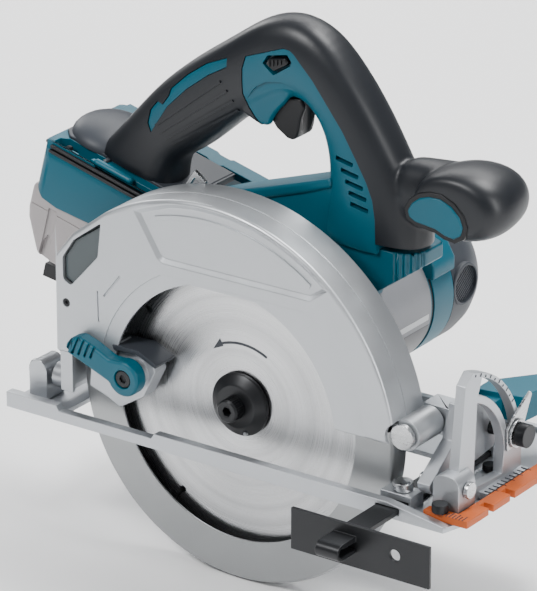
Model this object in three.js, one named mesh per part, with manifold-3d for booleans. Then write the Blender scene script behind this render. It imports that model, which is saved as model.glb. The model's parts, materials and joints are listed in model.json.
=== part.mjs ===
// A cordless circular saw for 190 mm blades, in millimetres.
// Model frame: +X is the cutting direction, +Y points to the motor, +Z is up.
// Inside this file y = 0 is the blade's middle plane, z = 0 the sole's underside and x = 0 the spindle.
// The whole saw is then moved so that the frame's origin is the sole's resting face, on its wide side.
import * as THREE from 'three';
import { mergeVertices } from 'three/addons/utils/BufferGeometryUtils.js';
import Module from 'manifold-3d';

const wasm = await Module();
wasm.setup();

// ---- Clearances ----
const gap = 0.3;              // between pieces that touch
const runGap = 0.6;           // between pieces that turn or slide past each other

// ---- Blade and spindle ----
const bladeR = 95;
const bladeT = 2;
const bladeBoreR = 15;
const bladeTeeth = 24;
const toothDepth = 6;
const cutDepth = 68.5;        // blade below the sole when the saw stands square at full depth
const spindleZ = bladeR - cutDepth;
const spindleR = 7.4;
const spindleEndY = 39;
const flangeR = 17.8;
const boltHeadR = 6.5;
const boltShankR = 4.9;

// ---- Base ----
const baseRearX = -138;
const baseFrontX = 150;
const baseNearY = -29;
const baseFarY = 106;
const baseT = 3;
const railH = 9;
const railT = 5.5;
const railReliefH = 6;        // lower rail where the retract lever swings over it at full bevel
const farRailH = 6;
const openRearX = -104;
const openFrontX = 100.5;
const openNearY = -20;
const openFarY = 46;
const soleMarkY = 60;         // the resting face's point is this far from the blade

// ---- Bevel and depth pivots ----
const bevelY = -8;
const bevelZ = 17.5;
const hingePinR = 3;
const depthX = 112;
const depthZ = 41;
const depthPinR = 4;
const bevelBoltR = 4;
const slotR = 53.5;           // from the bevel axis to the quadrant slot's middle
const boltAngle = 13;         // degrees above level at rest
const bevelRange = 50;
const depthRange = 36;

// ---- Rip fence ----
const fenceX = 104.5;
const fenceW = 14;
const fenceT = 3;
const fencePlateY = -68;
const fencePlateX0 = 78;
const fencePlateX1 = 163;

// ---- Blade case and lower guard ----
const caseNearY = -20;
const caseFarY = 10.6;
const caseWall = 2.6;
const openingR = 72.5;
const guardR = 101;
const guardInnerR = 77;
const guardHalfW = 7;
const guardWall = 1.4;
const guardHubR = 16.4;
const collarR = guardHubR - runGap;   // the gear housing's collar, which the guard turns on
const leverX = -58;
const leverZ = 36;

// ---- Motor and gears ----
const motorX = 7;
const motorZ = 54.5;
const gearTeeth = 37;
const pinionTeeth = 11;
const gearY = 19;
const gearW = 10;
const gearWall = 2.2;
const motorR = 39.5;
const motorWall = 2.5;
const motorY0 = 43.3;
const motorY1 = 134;
const capEndY = 182;
const shaftR = 3.5;

// ---- Handle ----
const gripY = 41;             // the housing's parting plane
const gripHalfW = 14;
const rubberT = 7;

// ---- Battery carrier, in its own tilted frame ----
const carrierTilt = 14.5;
const carrierX = -138;        // rear top near corner
const carrierZ = 142;
const carrierNearY = caseFarY + 0.9;
const carrierLen = 73;
const packLen = 76;
const packW = 72;
const packH = 43;
const carrierH = 27;
const coverT = 1;

// ---------------------------------------------------------------- solids

function solid(geometry) {
  geometry.deleteAttribute('normal');
  geometry.deleteAttribute('uv');
  const merged = mergeVertices(geometry, 1e-4);
  return new wasm.Manifold(new wasm.Mesh({
    numProp: 3,
    vertProperties: merged.attributes.position.array,
    triVerts: new Uint32Array(merged.index.array),
  }));
}

function geometryOf(manifold) {
  const mesh = manifold.getMesh();
  const geometry = new THREE.BufferGeometry();
  geometry.setAttribute('position', new THREE.BufferAttribute(mesh.vertProperties, 3));
  geometry.setIndex(new THREE.BufferAttribute(mesh.triVerts, 1));
  return geometry;
}

function block(x0, x1, y0, y1, z0, z1) {
  const box = new THREE.BoxGeometry(x1 - x0, y1 - y0, z1 - z0);
  return solid(box.translate((x0 + x1) / 2, (y0 + y1) / 2, (z0 + z1) / 2));
}

// A round bar along an axis; a and b are its place on the other two axes, in x, y, z order.
function rod(axis, radius, from, to, a, b, sides = 24, endRadius = radius) {
  const bar = new THREE.CylinderGeometry(endRadius, radius, to - from, sides);
  const middle = (from + to) / 2;
  if (axis === 'x') return solid(bar.rotateZ(-Math.PI / 2).translate(middle, a, b));
  if (axis === 'y') return solid(bar.translate(a, middle, b));
  return solid(bar.rotateX(Math.PI / 2).translate(a, b, middle));
}

function ring(axis, outer, inner, from, to, a, b, sides = 24) {
  return rod(axis, outer, from, to, a, b, sides)
    .subtract(rod(axis, inner, from - 1, to + 1, a, b, sides));
}

function slab(points, depth) {
  const shape = new THREE.Shape(points.map(([u, v]) => new THREE.Vector2(u, v)));
  return new THREE.ExtrudeGeometry(shape, { depth, bevelEnabled: false });
}

// An outline of (x, z) points, from y0 to y1.
function slabY(points, y0, y1) {
  return solid(slab(points, y1 - y0).rotateX(Math.PI / 2).translate(0, y1, 0));
}

// An outline of (y, z) points, from x0 to x1.
function slabX(points, x0, x1) {
  const turn = new THREE.Matrix4().makeBasis(
    new THREE.Vector3(0, 1, 0), new THREE.Vector3(0, 0, 1), new THREE.Vector3(1, 0, 0));
  return solid(slab(points, x1 - x0).applyMatrix4(turn).translate(x0, 0, 0));
}

// An outline of (x, y) points, from z0 to z1.
function slabZ(points, z0, z1) {
  return solid(slab(points, z1 - z0).translate(0, 0, z0));
}

function join(...parts) {
  return parts.reduce((sum, part) => sum.add(part));
}

function polar(cu, cv, radius, degrees) {
  const angle = THREE.MathUtils.degToRad(degrees);
  return [cu + radius * Math.cos(angle), cv + radius * Math.sin(angle)];
}

// Points on an arc about (cu, cv), angles in degrees; the radius may depend on the angle.
function arc(cu, cv, radius, from, to, steps) {
  const radiusAt = typeof radius === 'function' ? radius : () => radius;
  return Array.from({ length: steps + 1 }, (_, i) => {
    const degrees = from + (to - from) * i / steps;
    return polar(cu, cv, radiusAt(degrees), degrees);
  });
}

function smooth(points, steps) {
  const curve = new THREE.SplineCurve(points.map(([u, v]) => new THREE.Vector2(u, v)));
  return curve.getPoints(steps).map((p) => [p.x, p.y]);
}

// The same open line, moved sideways; positive goes to the right of its direction.
function offsetLine(points, distance) {
  return points.map(([u, v], i) => {
    const [u0, v0] = points[Math.max(i - 1, 0)];
    const [u1, v1] = points[Math.min(i + 1, points.length - 1)];
    const length = Math.hypot(u1 - u0, v1 - v0);
    return [u + distance * (v1 - v0) / length, v - distance * (u1 - u0) / length];
  });
}

// ---------------------------------------------------------------- finishes

const finish = (color, roughness, metalness) => ({ color, roughness, metalness });
const castAluminium = finish(0x9da3a8, 0.45, 0.85);
const silverPaint = finish(0xc9cdd1, 0.4, 0.35);
const guardMetal = finish(0xa6a8aa, 0.4, 0.8);
const steel = finish(0x8e9093, 0.3, 1);
const blackSteel = finish(0x17181b, 0.4, 0.7);
const teal = finish(0x00667a, 0.45, 0);
const rubber = finish(0x14181f, 0.6, 0);
const darkPlastic = finish(0x3a3f45, 0.55, 0);
const blackPlastic = finish(0x121316, 0.5, 0);
const orange = finish(0xc86a2e, 0.5, 0);
const packGrey = finish(0xa9a2a2, 0.55, 0);
const copper = finish(0xb06a3a, 0.4, 1);

const saw = new THREE.Group();

function piece(group, name, manifold, look) {
  const mesh = new THREE.Mesh(geometryOf(manifold), new THREE.MeshStandardMaterial(look));
  mesh.name = name;
  group.add(mesh);
}

function bodyGroup(parent) {
  const group = new THREE.Group();
  parent.add(group);
  return group;
}

// ---------------------------------------------------------------- base

const base = bodyGroup(saw);

const noseH = 3.5;
const fenceZ0 = baseT + gap;
const fenceZ1 = fenceZ0 + fenceT;
const fenceX1 = fenceX + fenceW;
const bridgeTop = fenceZ1 + 4;
const clampX = fenceX + fenceW / 2;
const clampY = -14;
const clampR = 2.4;

function fenceBridge(y0, y1) {
  return block(fenceX - 3.2, fenceX1 + 2, y0, y1, 0, bridgeTop);
}

function basePlate() {
  const outline = [
    [baseRearX, baseNearY], [baseFrontX - 4, baseNearY], [baseFrontX, baseNearY + 14],
    [baseFrontX, baseFarY - 8], [baseFrontX - 10, baseFarY], [baseRearX + 8, baseFarY],
    [baseRearX, baseFarY - 8],
  ];
  const railTop = [
    [baseRearX, 0], [baseFrontX - 4, 0], [baseFrontX - 4, noseH], [fenceX1 - 8, railH],
    [leverX + 20, railH], [leverX + 18, railReliefH],
    [openRearX + 2, railReliefH], [openRearX, railH], [baseRearX, railH],
  ];
  const plate = slabZ(outline, 0, baseT)
    .add(slabY(railTop, baseNearY, baseNearY + railT))
    .add(block(baseRearX, baseFrontX - 12, baseFarY - 4, baseFarY, 0, farRailH))
    .add(fenceBridge(openNearY, clampY + 6))
    .add(fenceBridge(60, 70));
  const channel = block(fenceX - gap, fenceX1 + gap, baseNearY - 1, baseFarY - 20, baseT, fenceZ1 + gap);
  const opening = block(openRearX, openFrontX, openNearY, openFarY, -1, baseT + 1);
  const clampHole = rod('z', clampR + gap, fenceZ1, bridgeTop + 1, clampX, clampY);
  return plate.subtract(channel).subtract(opening).subtract(clampHole);
}

const earX0 = 131;
const earX1 = 147;
const quadX0 = 136;
const quadX1 = 142;
const earY0 = bevelY - 8;
const earY1 = bevelY + 8;
const seatZ = baseT + gap;
const hingeHoleR = hingePinR + gap;

function hingeEar(x0, x1) {
  const top = bevelZ + 8.5;
  const outline = [
    [x0, seatZ], [x1, seatZ], ...arc(x1 - 6, top - 6, 6, 0, 90, 4), ...arc(x0 + 6, top - 6, 6, 90, 180, 4),
  ];
  return slabY(outline, earY0, earY1);
}

function bevelQuadrant() {
  const outerR = 61;
  const outline = [
    [bevelY - 3, seatZ], [bevelY + outerR, seatZ],
    ...arc(bevelY, bevelZ, outerR, 0, 72, 12),
    [bevelY + 12, bevelZ + 60], [bevelY + 5, bevelZ + 54],
  ];
  const inner = [
    ...arc(bevelY, bevelZ, slotR - 9, 8, 68, 8), [bevelY + 14, seatZ + 8], [bevelY + 42, seatZ + 6],
  ];
  const slotHalf = bevelBoltR + runGap;
  const slot = [
    ...arc(bevelY, bevelZ, slotR + slotHalf, boltAngle - 8, boltAngle + bevelRange + 6, 12),
    ...arc(bevelY, bevelZ, slotR - slotHalf, boltAngle + bevelRange + 6, boltAngle - 8, 12),
  ];
  const foot = block(quadX0 - 8, quadX1 + 5, 12, bevelY + outerR, seatZ, seatZ + 4);
  return slabX(outline, quadX0, quadX1).add(hingeEar(earX0, earX1)).add(foot)
    .subtract(slabX(inner, quadX0 - 1, quadX1 + 1))
    .subtract(slabX(slot, quadX0 - 1, quadX1 + 1))
    .subtract(rod('x', hingeHoleR, earX0 - 1, earX1 + 1, bevelY, bevelZ))
    .subtract(rod('z', 2 + gap, 0, seatZ + 9, quadX0 - 4, 38));
}

const rearEarX0 = -132;
const rearEarX1 = -120;

function rearHingeEar() {
  return hingeEar(rearEarX0, rearEarX1).subtract(rod('x', hingeHoleR, rearEarX0 - 1, rearEarX1 + 1, bevelY, bevelZ));
}

// A headed pin along X; the head is at the end given first.
function headedPinX(headX, headT, headR, endX, r, y, z, sides = 16) {
  const step = Math.sign(endX - headX);
  const neckX = headX + step * headT;
  const head = rod('x', headR, Math.min(headX, neckX), Math.max(headX, neckX), y, z, sides);
  return head.add(rod('x', r, Math.min(neckX - step * 0.1, endX), Math.max(neckX - step * 0.1, endX), y, z, sides));
}

const guideZ0 = baseT + gap;
const guideTop = 7.5;
const guideScrewX = 139;
const guideNearY = baseNearY + railT + gap;
const guideScrewY = earY0 - 4.8;

function topGuide() {
  const y1 = 84;
  const strip = [
    [140, guideNearY], [157, guideNearY], [157, y1], [quadX1 + 6, y1], [quadX1 + 6, earY1 + gap],
    [earX1 + gap + 0.5, earY1 + gap], [earX1 + gap + 0.5, earY0 - 1], [130, earY0 - 1], [130, guideNearY],
  ];
  const notch = (y) => block(151, 158, y - 2.2, y + 2.2, 0, 20);
  const bevelCutY = (-bevelY + bevelZ * Math.SQRT1_2) / Math.SQRT1_2 + bevelY;
  return slabZ(strip, guideZ0, guideTop)
    .subtract(notch(0)).subtract(notch(bevelCutY))
    .subtract(rod('z', 2 + gap, 0, 20, guideScrewX, guideScrewY));
}

function panScrew(z0, z1, headZ, r, headR, x, y) {
  return rod('z', r, z0, headZ + 0.1, x, y, 16).add(rod('z', headR, headZ, z1, x, y, 20));
}

function ripFence() {
  const endY = fencePlateY - 17;
  const foldR = 4.6;
  const foldZ = fenceZ1 - foldR;
  const side = [
    [82, fenceZ0], [82, fenceZ1], ...arc(endY + foldR, foldZ, foldR, 90, 270, 8),
    [fencePlateY - 0.1, foldZ - foldR], [fencePlateY - 0.1, foldZ - foldR + fenceT * 0.7],
    ...arc(endY + foldR, foldZ, foldR - fenceT * 0.7, 270, 90, 8),
    [endY + foldR + 2, fenceZ0],
  ];
  const plate = block(fencePlateX0, fencePlateX1, fencePlateY, fencePlateY + 2.2, -11.5, 12)
    .subtract(rod('y', 3.2, fencePlateY - 1, fencePlateY + 3, fencePlateX1 - 21, 2));
  return slabX(side, fenceX, fenceX1).add(plate);
}

function baseGroup() {
  piece(base, 'base_plate', basePlate(), castAluminium);
  piece(base, 'bevel_quadrant', bevelQuadrant(), castAluminium);
  piece(base, 'rear_hinge_ear', rearHingeEar(), castAluminium);
  piece(base, 'front_hinge_pin', headedPinX(earX1 + 3, 2.6, 4.6, 119, hingePinR, bevelY, bevelZ), steel);
  piece(base, 'rear_hinge_pin', headedPinX(rearEarX0 - 3, 2.6, 4.6, -107, hingePinR, bevelY, bevelZ), steel);
  piece(base, 'quadrant_screw', panScrew(baseT + gap, 11, 7.6, 2, 4, quadX0 - 4, 38), blackSteel);
  piece(base, 'top_guide', topGuide(), orange);
  piece(base, 'guide_screw', panScrew(baseT + gap, 12.5, guideTop + gap, 1.8, 4.5, guideScrewX, guideScrewY), blackSteel);
  piece(bodyGroup(base), 'rip_fence', ripFence(), blackSteel);
  piece(bodyGroup(base), 'fence_clamp_screw',
    panScrew(fenceZ1 + gap, bridgeTop + 5, bridgeTop + gap, clampR, 5.5, clampX, clampY), steel);
}

// ---------------------------------------------------------------- tilting frame

const bevelFrame = bodyGroup(base);
const [boltY, boltZ] = polar(bevelY, bevelZ, slotR, boltAngle);
const yokeX0 = 121;
const yokeX1 = 129;
const guideArcR = 180;
const guideArcHalf = 4.5;
const guideArcY = caseFarY + gap;
const guideArcT = 3;

function frontYoke() {
  const outline = [
    [bevelY - 7.5, bevelZ], ...arc(bevelY, bevelZ, 7.5, 180, 315, 6), [boltY + 2, boltZ - 12],
    ...arc(boltY, boltZ, 9, -60, 90, 6), [28, 52], [14, 52], [8, 34],
  ];
  const arm = block(depthX - 6, yokeX0 + 1, caseFarY + 2, caseFarY + 16, depthZ - 8, depthZ + 8)
    .add(rod('y', 8, caseFarY + 2, caseFarY + 16, depthX, depthZ));
  return slabX(outline, yokeX0, yokeX1).add(arm)
    .subtract(rod('x', hingeHoleR, yokeX0 - 1, yokeX1 + 1, bevelY, bevelZ))
    .subtract(rod('x', bevelBoltR + gap, yokeX0 - 1, yokeX1 + 1, boltY, boltZ))
    .subtract(rod('y', depthPinR + gap, 0, 60, depthX, depthZ));
}

function rearYoke() {
  const x0 = -117;
  const x1 = -107.5;
  const eye = rod('x', 7.5, x0, x1, bevelY, bevelZ)
    .add(block(x0, x1, bevelY, guideArcY + 9, bevelZ - 7.5, bevelZ + 4));
  const arm = block(x1 - 1, depthX - guideArcR + 8, guideArcY + guideArcT + gap, guideArcY + 9,
    bevelZ - 7.5, bevelZ - 1);
  return eye.add(arm).subtract(rod('x', hingeHoleR, x0 - 1, x1 + 1, bevelY, bevelZ));
}

// The arc that the depth clamp slides on, centred on the depth pivot.
function depthGuide() {
  const low = 180 + 10.5;
  const high = 180 - depthRange + 1;
  const outline = [
    ...arc(depthX, depthZ, guideArcR + guideArcHalf, low, high, 14),
    ...arc(depthX, depthZ, guideArcR - guideArcHalf, high, low, 14),
  ];
  const slot = [
    ...arc(depthX, depthZ, guideArcR + 2.4, low - 2.5, high + 1, 14),
    ...arc(depthX, depthZ, guideArcR - 2.4, high + 1, low - 2.5, 14),
  ];
  return slabY(outline, guideArcY, guideArcY + guideArcT)
    .subtract(slabY(slot, guideArcY - 1, guideArcY + guideArcT + 1));
}

function depthPin() {
  const nearY = caseNearY + 3;
  return rod('y', 7, nearY, nearY + 3, depthX, depthZ)
    .add(rod('y', depthPinR, nearY + 2.9, caseFarY + 19, depthX, depthZ));
}

function bevelPointer() {
  const outline = [
    [boltY - 1.6, boltZ + 10], [boltY + 14, boltZ + 19], [boltY + 15.5, boltZ + 17], [boltY + 8, boltZ + 2],
    [boltY + 8, boltZ - 8], [boltY - 8, boltZ - 8], [boltY - 8, boltZ + 4],
  ];
  return slabX(outline, quadX1 + gap, quadX1 + 1.8)
    .subtract(rod('x', bevelBoltR + gap, quadX1, quadX1 + 3, boltY, boltZ));
}

const bevelBoltFront = quadX1 + 10;
const leverHubX0 = 108;
const leverHubX1 = yokeX0 - gap;

function bevelLever() {
  const hub = ring('x', 9, bevelBoltR + gap, leverHubX0, leverHubX1, boltY, boltZ);
  const arm = block(leverHubX0 + 1, leverHubX1, boltY + 6, boltY + 24, boltZ - 4, boltZ + 6);
  const grip = [
    [leverHubX0 - 2, boltY + 20], [leverHubX1 + 12, boltY + 24], [leverHubX1 + 16, baseFarY - 6],
    [leverHubX1 + 4, baseFarY - 4], [leverHubX0 - 2, boltY + 34],
  ];
  return hub.add(arm).add(slabZ(grip, boltZ - 6, boltZ + 9));
}

function bevelGroup() {
  piece(bevelFrame, 'front_yoke', frontYoke(), castAluminium);
  piece(bevelFrame, 'rear_yoke', rearYoke(), castAluminium);
  piece(bevelFrame, 'depth_guide', depthGuide(), steel);
  piece(bevelFrame, 'depth_pivot_pin', depthPin(), steel);
  piece(bevelFrame, 'bevel_pointer', bevelPointer(), steel);
  piece(bevelFrame, 'bevel_washer', ring('x', 8, bevelBoltR + gap, quadX1 + 2.1, quadX1 + 3.7, boltY, boltZ), steel);
  piece(bevelFrame, 'bevel_bolt',
    headedPinX(bevelBoltFront, 6, 6.5, leverHubX0 - 2, bevelBoltR, boltY, boltZ, 18), blackSteel);
  piece(bodyGroup(bevelFrame), 'bevel_lever', bevelLever(), teal);
}

// ---------------------------------------------------------------- blade case

const sawBody = bodyGroup(bevelFrame);

// The case's rim runs out from the front to the rear, as a dust channel does.
const caseR = (angle) => 110 + 14 * ((angle - 8) / 120) ** 2;

function caseOutline(inset, floor) {
  const rim = arc(0, spindleZ, (angle) => caseR(angle) - inset, 8, 128, 30);
  const rear = [
    [-98 + inset * 0.8, 107.5 - inset * 0.8], [-110 + inset, 92.5 - inset * 0.3], [-107 + inset, 34],
  ];
  return [...rim, ...rear, [-107 + inset, floor], [rim[0][0], floor]];
}

const nearWallZ = 36;

function bladeCase() {
  const shell = slabY(caseOutline(0, nearWallZ), caseNearY, caseFarY);
  const cavity = slabY(caseOutline(caseWall, -10), caseNearY + caseWall, caseFarY - gearWall);
  const window = slabY([[-78, 117], [-80, 97], [-96, 78], [-103, 82], [-104, 92], [-96, 104]],
    caseNearY - 1, caseNearY + caseWall + 1);
  const farWall = rod('y', 44, caseFarY - gearWall, caseFarY, 0, spindleZ, 48)
    .intersect(block(-60, 60, 0, 20, baseT + 1.5, 100))
    .add(slabY([[-107, 14], [-60, 14], [-40, nearWallZ], [-107, nearWallZ + 4]], caseFarY - gearWall, caseFarY));
  const rearLeg = block(-107, -107 + caseWall, caseNearY, caseFarY, 14.5, nearWallZ + 2);
  const ear = rod('y', 8.6, caseNearY + 7, caseFarY, depthX, depthZ);
  const headRecess = rod('y', 8.2, caseNearY - 1, caseNearY + 6.4, depthX, depthZ);
  return shell.subtract(cavity).subtract(headRecess)
    .subtract(rod('y', openingR, caseNearY - 1, caseNearY + caseWall + 1, 0, spindleZ, 72))
    .subtract(window).add(farWall).add(rearLeg).add(ear)
    .subtract(rod('y', collarR + gap, 0, 20, 0, spindleZ, 32))
    .subtract(rod('y', depthPinR + gap, -30, 30, depthX, depthZ));
}

// ---------------------------------------------------------------- lower guard

function sector(radius, from, to) {
  return [[0, spindleZ], ...arc(0, spindleZ, radius, from, to, 40)];
}

function lowerGuard() {
  const round = (outer, inner, y0, y1) => ring('y', outer, inner, y0, y1, 0, spindleZ, 72);
  const walls = round(guardR, guardInnerR, -guardHalfW, -guardHalfW + guardWall)
    .add(round(guardR, guardR - 2.2, -guardHalfW, guardHalfW - 0.3))
    .add(round(guardR, guardHubR, guardHalfW - 0.3 - guardWall, guardHalfW - 0.3));
  const kept = slabY(sector(guardR * 1.2, -190, -90), -20, 20)
    .add(slabY(sector(guardR * 1.2, -91, 6), -20, 20));
  const lug = slabY([[-88, 44], [-70, 50], [-48, 43], [-46, 38], [-54, 22], [-70, 12], [-78, 16], [-90, 20]],
    caseNearY + 3.6, -guardHalfW + guardWall);
  const boss = rod('y', 7.5, caseNearY - 0.7, caseNearY + 4, leverX, leverZ);
  return walls.intersect(kept)
    .add(ring('y', 22, guardHubR, guardHalfW - 0.3 - guardWall, guardHalfW + 1, 0, spindleZ, 32))
    .add(lug).add(boss)
    .subtract(rod('y', 2.2, caseNearY - 2, -9, leverX, leverZ, 16));
}

const leverY0 = caseNearY - 10;
const leverY1 = caseNearY - 1;

function retractLever() {
  const outline = [
    [leverX - 9, leverZ - 3], ...arc(leverX, leverZ, 9, 200, 440, 14), [leverX - 10, 49],
    [-90, 53], [-96, 50], [-98.5, 43.5], [-76, 35.5],
  ];
  return slabY(outline, leverY0, leverY1)
    .subtract(rod('y', 5.4, leverY0 - 1, leverY0 + 3, leverX, leverZ))
    .subtract(rod('y', 2.2, leverY0, leverY1 + 1, leverX, leverZ, 16));
}

function leverScrew() {
  return rod('y', 4.8, leverY0 + 0.3, leverY0 + 2.7, leverX, leverZ)
    .add(rod('y', 1.9, leverY0 + 2.6, -9.5, leverX, leverZ, 16))
    .subtract(rod('y', 2, leverY0, leverY0 + 1.6, leverX, leverZ, 6));
}

// ---------------------------------------------------------------- blade and spindle

function toothedOutline(radius, teeth, depth) {
  const step = 360 / teeth;
  return Array.from({ length: teeth }, (_, i) => [
    polar(0, spindleZ, radius, i * step),
    polar(0, spindleZ, radius - depth, (i + 0.12) * step),
    polar(0, spindleZ, radius - 1, (i + 0.62) * step),
  ]).flat();
}

function sawBlade() {
  return slabY(toothedOutline(bladeR, bladeTeeth, toothDepth), -bladeT / 2, bladeT / 2)
    .subtract(rod('y', bladeBoreR, -5, 5, 0, spindleZ, 36));
}

function outerFlange() {
  const y1 = -bladeT / 2 - gap;
  return rod('y', flangeR, y1 - 2.4, y1, 0, spindleZ, 36)
    .add(rod('y', 12, y1 - 5.8, y1 - 2.3, 0, spindleZ, 36, flangeR))
    .subtract(rod('y', boltShankR + gap, y1 - 8, 5, 0, spindleZ));
}

function innerFlange() {
  const y0 = bladeT / 2 + gap;
  return rod('y', flangeR, y0, y0 + 1.3, 0, spindleZ, 36)
    .add(rod('y', bladeBoreR - gap, -bladeT / 2, y0 + 0.1, 0, spindleZ, 36))
    .subtract(rod('y', spindleR + gap, -5, 5, 0, spindleZ, 24));
}

function bladeBolt() {
  const headY = -bladeT / 2 - gap - 5.8 - gap;
  return rod('y', boltHeadR, headY - 8, headY, 0, spindleZ, 24)
    .add(rod('y', boltShankR, headY - 0.1, 12, 0, spindleZ))
    .subtract(rod('y', 3, headY - 9, headY - 4, 0, spindleZ, 6));
}

function spindle() {
  return rod('y', spindleR, -bladeT / 2, spindleEndY, 0, spindleZ)
    .subtract(rod('y', boltShankR + gap, -5, 14, 0, spindleZ));
}

const centreDistance = Math.hypot(motorX, motorZ - spindleZ);
const gearPitchR = centreDistance * gearTeeth / (gearTeeth + pinionTeeth);
const pinionPitchR = centreDistance - gearPitchR;
const gearTipR = gearPitchR - 0.1;
const pinionTipR = pinionPitchR - 0.4;

function drivenGear() {
  return rod('y', gearTipR, gearY, gearY + gearW, 0, spindleZ, gearTeeth)
    .subtract(rod('y', spindleR + gap, gearY - 1, gearY + gearW + 1, 0, spindleZ));
}

const frontBearingY = 3.2;
const rearBearingY = 31;
const bearingR = 13;
const rearBearingR = 11;

function spindleGroup() {
  const turning = bodyGroup(sawBody);
  piece(turning, 'saw_blade', sawBlade(), steel);
  piece(turning, 'outer_flange', outerFlange(), blackSteel);
  piece(turning, 'inner_flange', innerFlange(), steel);
  piece(turning, 'blade_bolt', bladeBolt(), blackSteel);
  piece(turning, 'spindle', spindle(), steel);
  piece(turning, 'driven_gear', drivenGear(), steel);
}

// ---------------------------------------------------------------- gear housing

function gearOutline(extra) {
  const low = gearTipR + runGap + gearWall + extra;
  const high = 31 + extra;
  return [
    ...arc(0, spindleZ, low, 165, 340, 16), ...arc(motorX, motorZ, high, 0, 150, 14),
  ];
}

const housingBackY = 40;

function gearHousing() {
  const collarY = 2.8 + gap;
  return rod('y', collarR, collarY, caseFarY + gap + 1, 0, spindleZ, 32)
    .add(slabY(gearOutline(0), caseFarY + gap, housingBackY))
    .subtract(slabY(gearOutline(-gearWall), caseFarY + gap + 3.2, housingBackY + 1))
    .subtract(rod('y', bearingR + gap, 0, frontBearingY + 8.6, 0, spindleZ, 32))
    .subtract(rod('y', spindleR + runGap, 0, 30, 0, spindleZ));
}

const shaftHoleR = shaftR + runGap;

function gearCover() {
  return slabY(gearOutline(0), housingBackY + gap, motorY0 - gap)
    .add(rod('y', rearBearingR + 2.4, rearBearingY + 2, housingBackY + 1, 0, spindleZ, 32)
      .intersect(slabY(gearOutline(-gearWall - gap), 0, motorY0)))
    .subtract(rod('y', rearBearingR + gap, 0, rearBearingY + 7.6, 0, spindleZ, 32))
    .subtract(rod('y', shaftHoleR, 0, 60, motorX, motorZ))
    .subtract(rod('y', spindleR + runGap, 0, spindleEndY + 0.5, 0, spindleZ));
}

// ---------------------------------------------------------------- motor

const stackY0 = 62;
const stackY1 = 106;
const stackR = 23;
const commutatorY0 = 114;
const commutatorY1 = 128;
const commutatorR = 12;
const rearShaftY = 160;

function motorHousing() {
  const tube = rod('y', motorR, motorY0, motorY1, motorX, motorZ, 40);
  const neck = slabY([
    [34, 66], [46, 92], [76, 110], [legBackX, legBottomZ - gap], [31, legBottomZ - gap], [-24, 111.3], [-24, 84],
  ], motorY0, gripY + gripHalfW + 11);
  return tube.add(neck)
    .subtract(rod('y', motorR - motorWall, motorY0 - 1, motorY1 + 1, motorX, motorZ, 40));
}

function motorEndCap() {
  const profile = [
    [0, capEndY], [22, capEndY], [27, capEndY - 3], [32, capEndY - 16], [motorR - 1, motorY1 + 4],
    [motorR, motorY1 + gap], [motorR - motorWall, motorY1 + gap], [30, capEndY - 17],
    [20, capEndY - 4], [12, capEndY - 4], [12, rearShaftY - 4], [9.4, rearShaftY - 4], [9.4, capEndY - 4],
    [0, capEndY - 4],
  ].reverse();
  const cap = new THREE.LatheGeometry(profile.map(([r, y]) => new THREE.Vector2(r, y)), 40);
  return solid(cap.translate(motorX, 0, motorZ));
}

function motorShaft() {
  return rod('y', shaftR, gearY - 1, rearShaftY + 8, motorX, motorZ);
}

function fan() {
  const blades = Array.from({ length: 9 }, (_, i) => {
    const blade = new THREE.BoxGeometry(20, 7, 1.6).translate(20, 52.5, 0);
    return solid(blade.rotateY(i * 2 * Math.PI / 9).translate(motorX, 0, motorZ));
  });
  return join(ring('y', 33, shaftR + gap, 48, 50, motorX, motorZ, 32), ...blades,
    ring('y', 11, shaftR + gap, 49.9, 56, motorX, motorZ));
}

function motorGroup() {
  const turning = bodyGroup(sawBody);
  piece(turning, 'motor_shaft', motorShaft(), steel);
  piece(turning, 'pinion_gear',
    ring('y', pinionTipR, shaftR + gap, gearY, gearY + gearW, motorX, motorZ, pinionTeeth), steel);
  piece(turning, 'cooling_fan', fan(), blackPlastic);
  piece(turning, 'armature_stack', ring('y', stackR, shaftR + gap, stackY0, stackY1, motorX, motorZ, 32), copper);
  piece(turning, 'commutator', ring('y', commutatorR, shaftR + gap, commutatorY0, commutatorY1, motorX, motorZ),
    copper);
}

function brush(name, side) {
  const z0 = motorZ + side * (commutatorR + gap);
  const z1 = motorZ + side * (commutatorR + 14);
  const low = Math.min(z0, z1);
  piece(sawBody, name, block(motorX - 3, motorX + 3, 117, 125, low, low + 13.7), blackPlastic);
}

function motorFixedParts() {
  piece(sawBody, 'motor_housing', motorHousing(), teal);
  piece(sawBody, 'motor_end_cap', motorEndCap(), darkPlastic);
  piece(sawBody, 'stator', ring('y', motorR - motorWall - gap, stackR + 1, stackY0 - 1, stackY1 + 1,
    motorX, motorZ, 40), steel);
  piece(sawBody, 'rear_motor_bearing', ring('y', 9.1, shaftR + gap, rearShaftY, rearShaftY + 6, motorX, motorZ),
    steel);
  brush('upper_brush', 1);
  brush('lower_brush', -1);
}

// ---------------------------------------------------------------- handle

// The carrier's top surface, which the handle's rear foot stands on.
const tilt = THREE.MathUtils.degToRad(carrierTilt);
const carrierTopZ = (x) => carrierZ - (x - carrierX) * Math.tan(tilt) + coverT / Math.cos(tilt) + gap;

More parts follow.
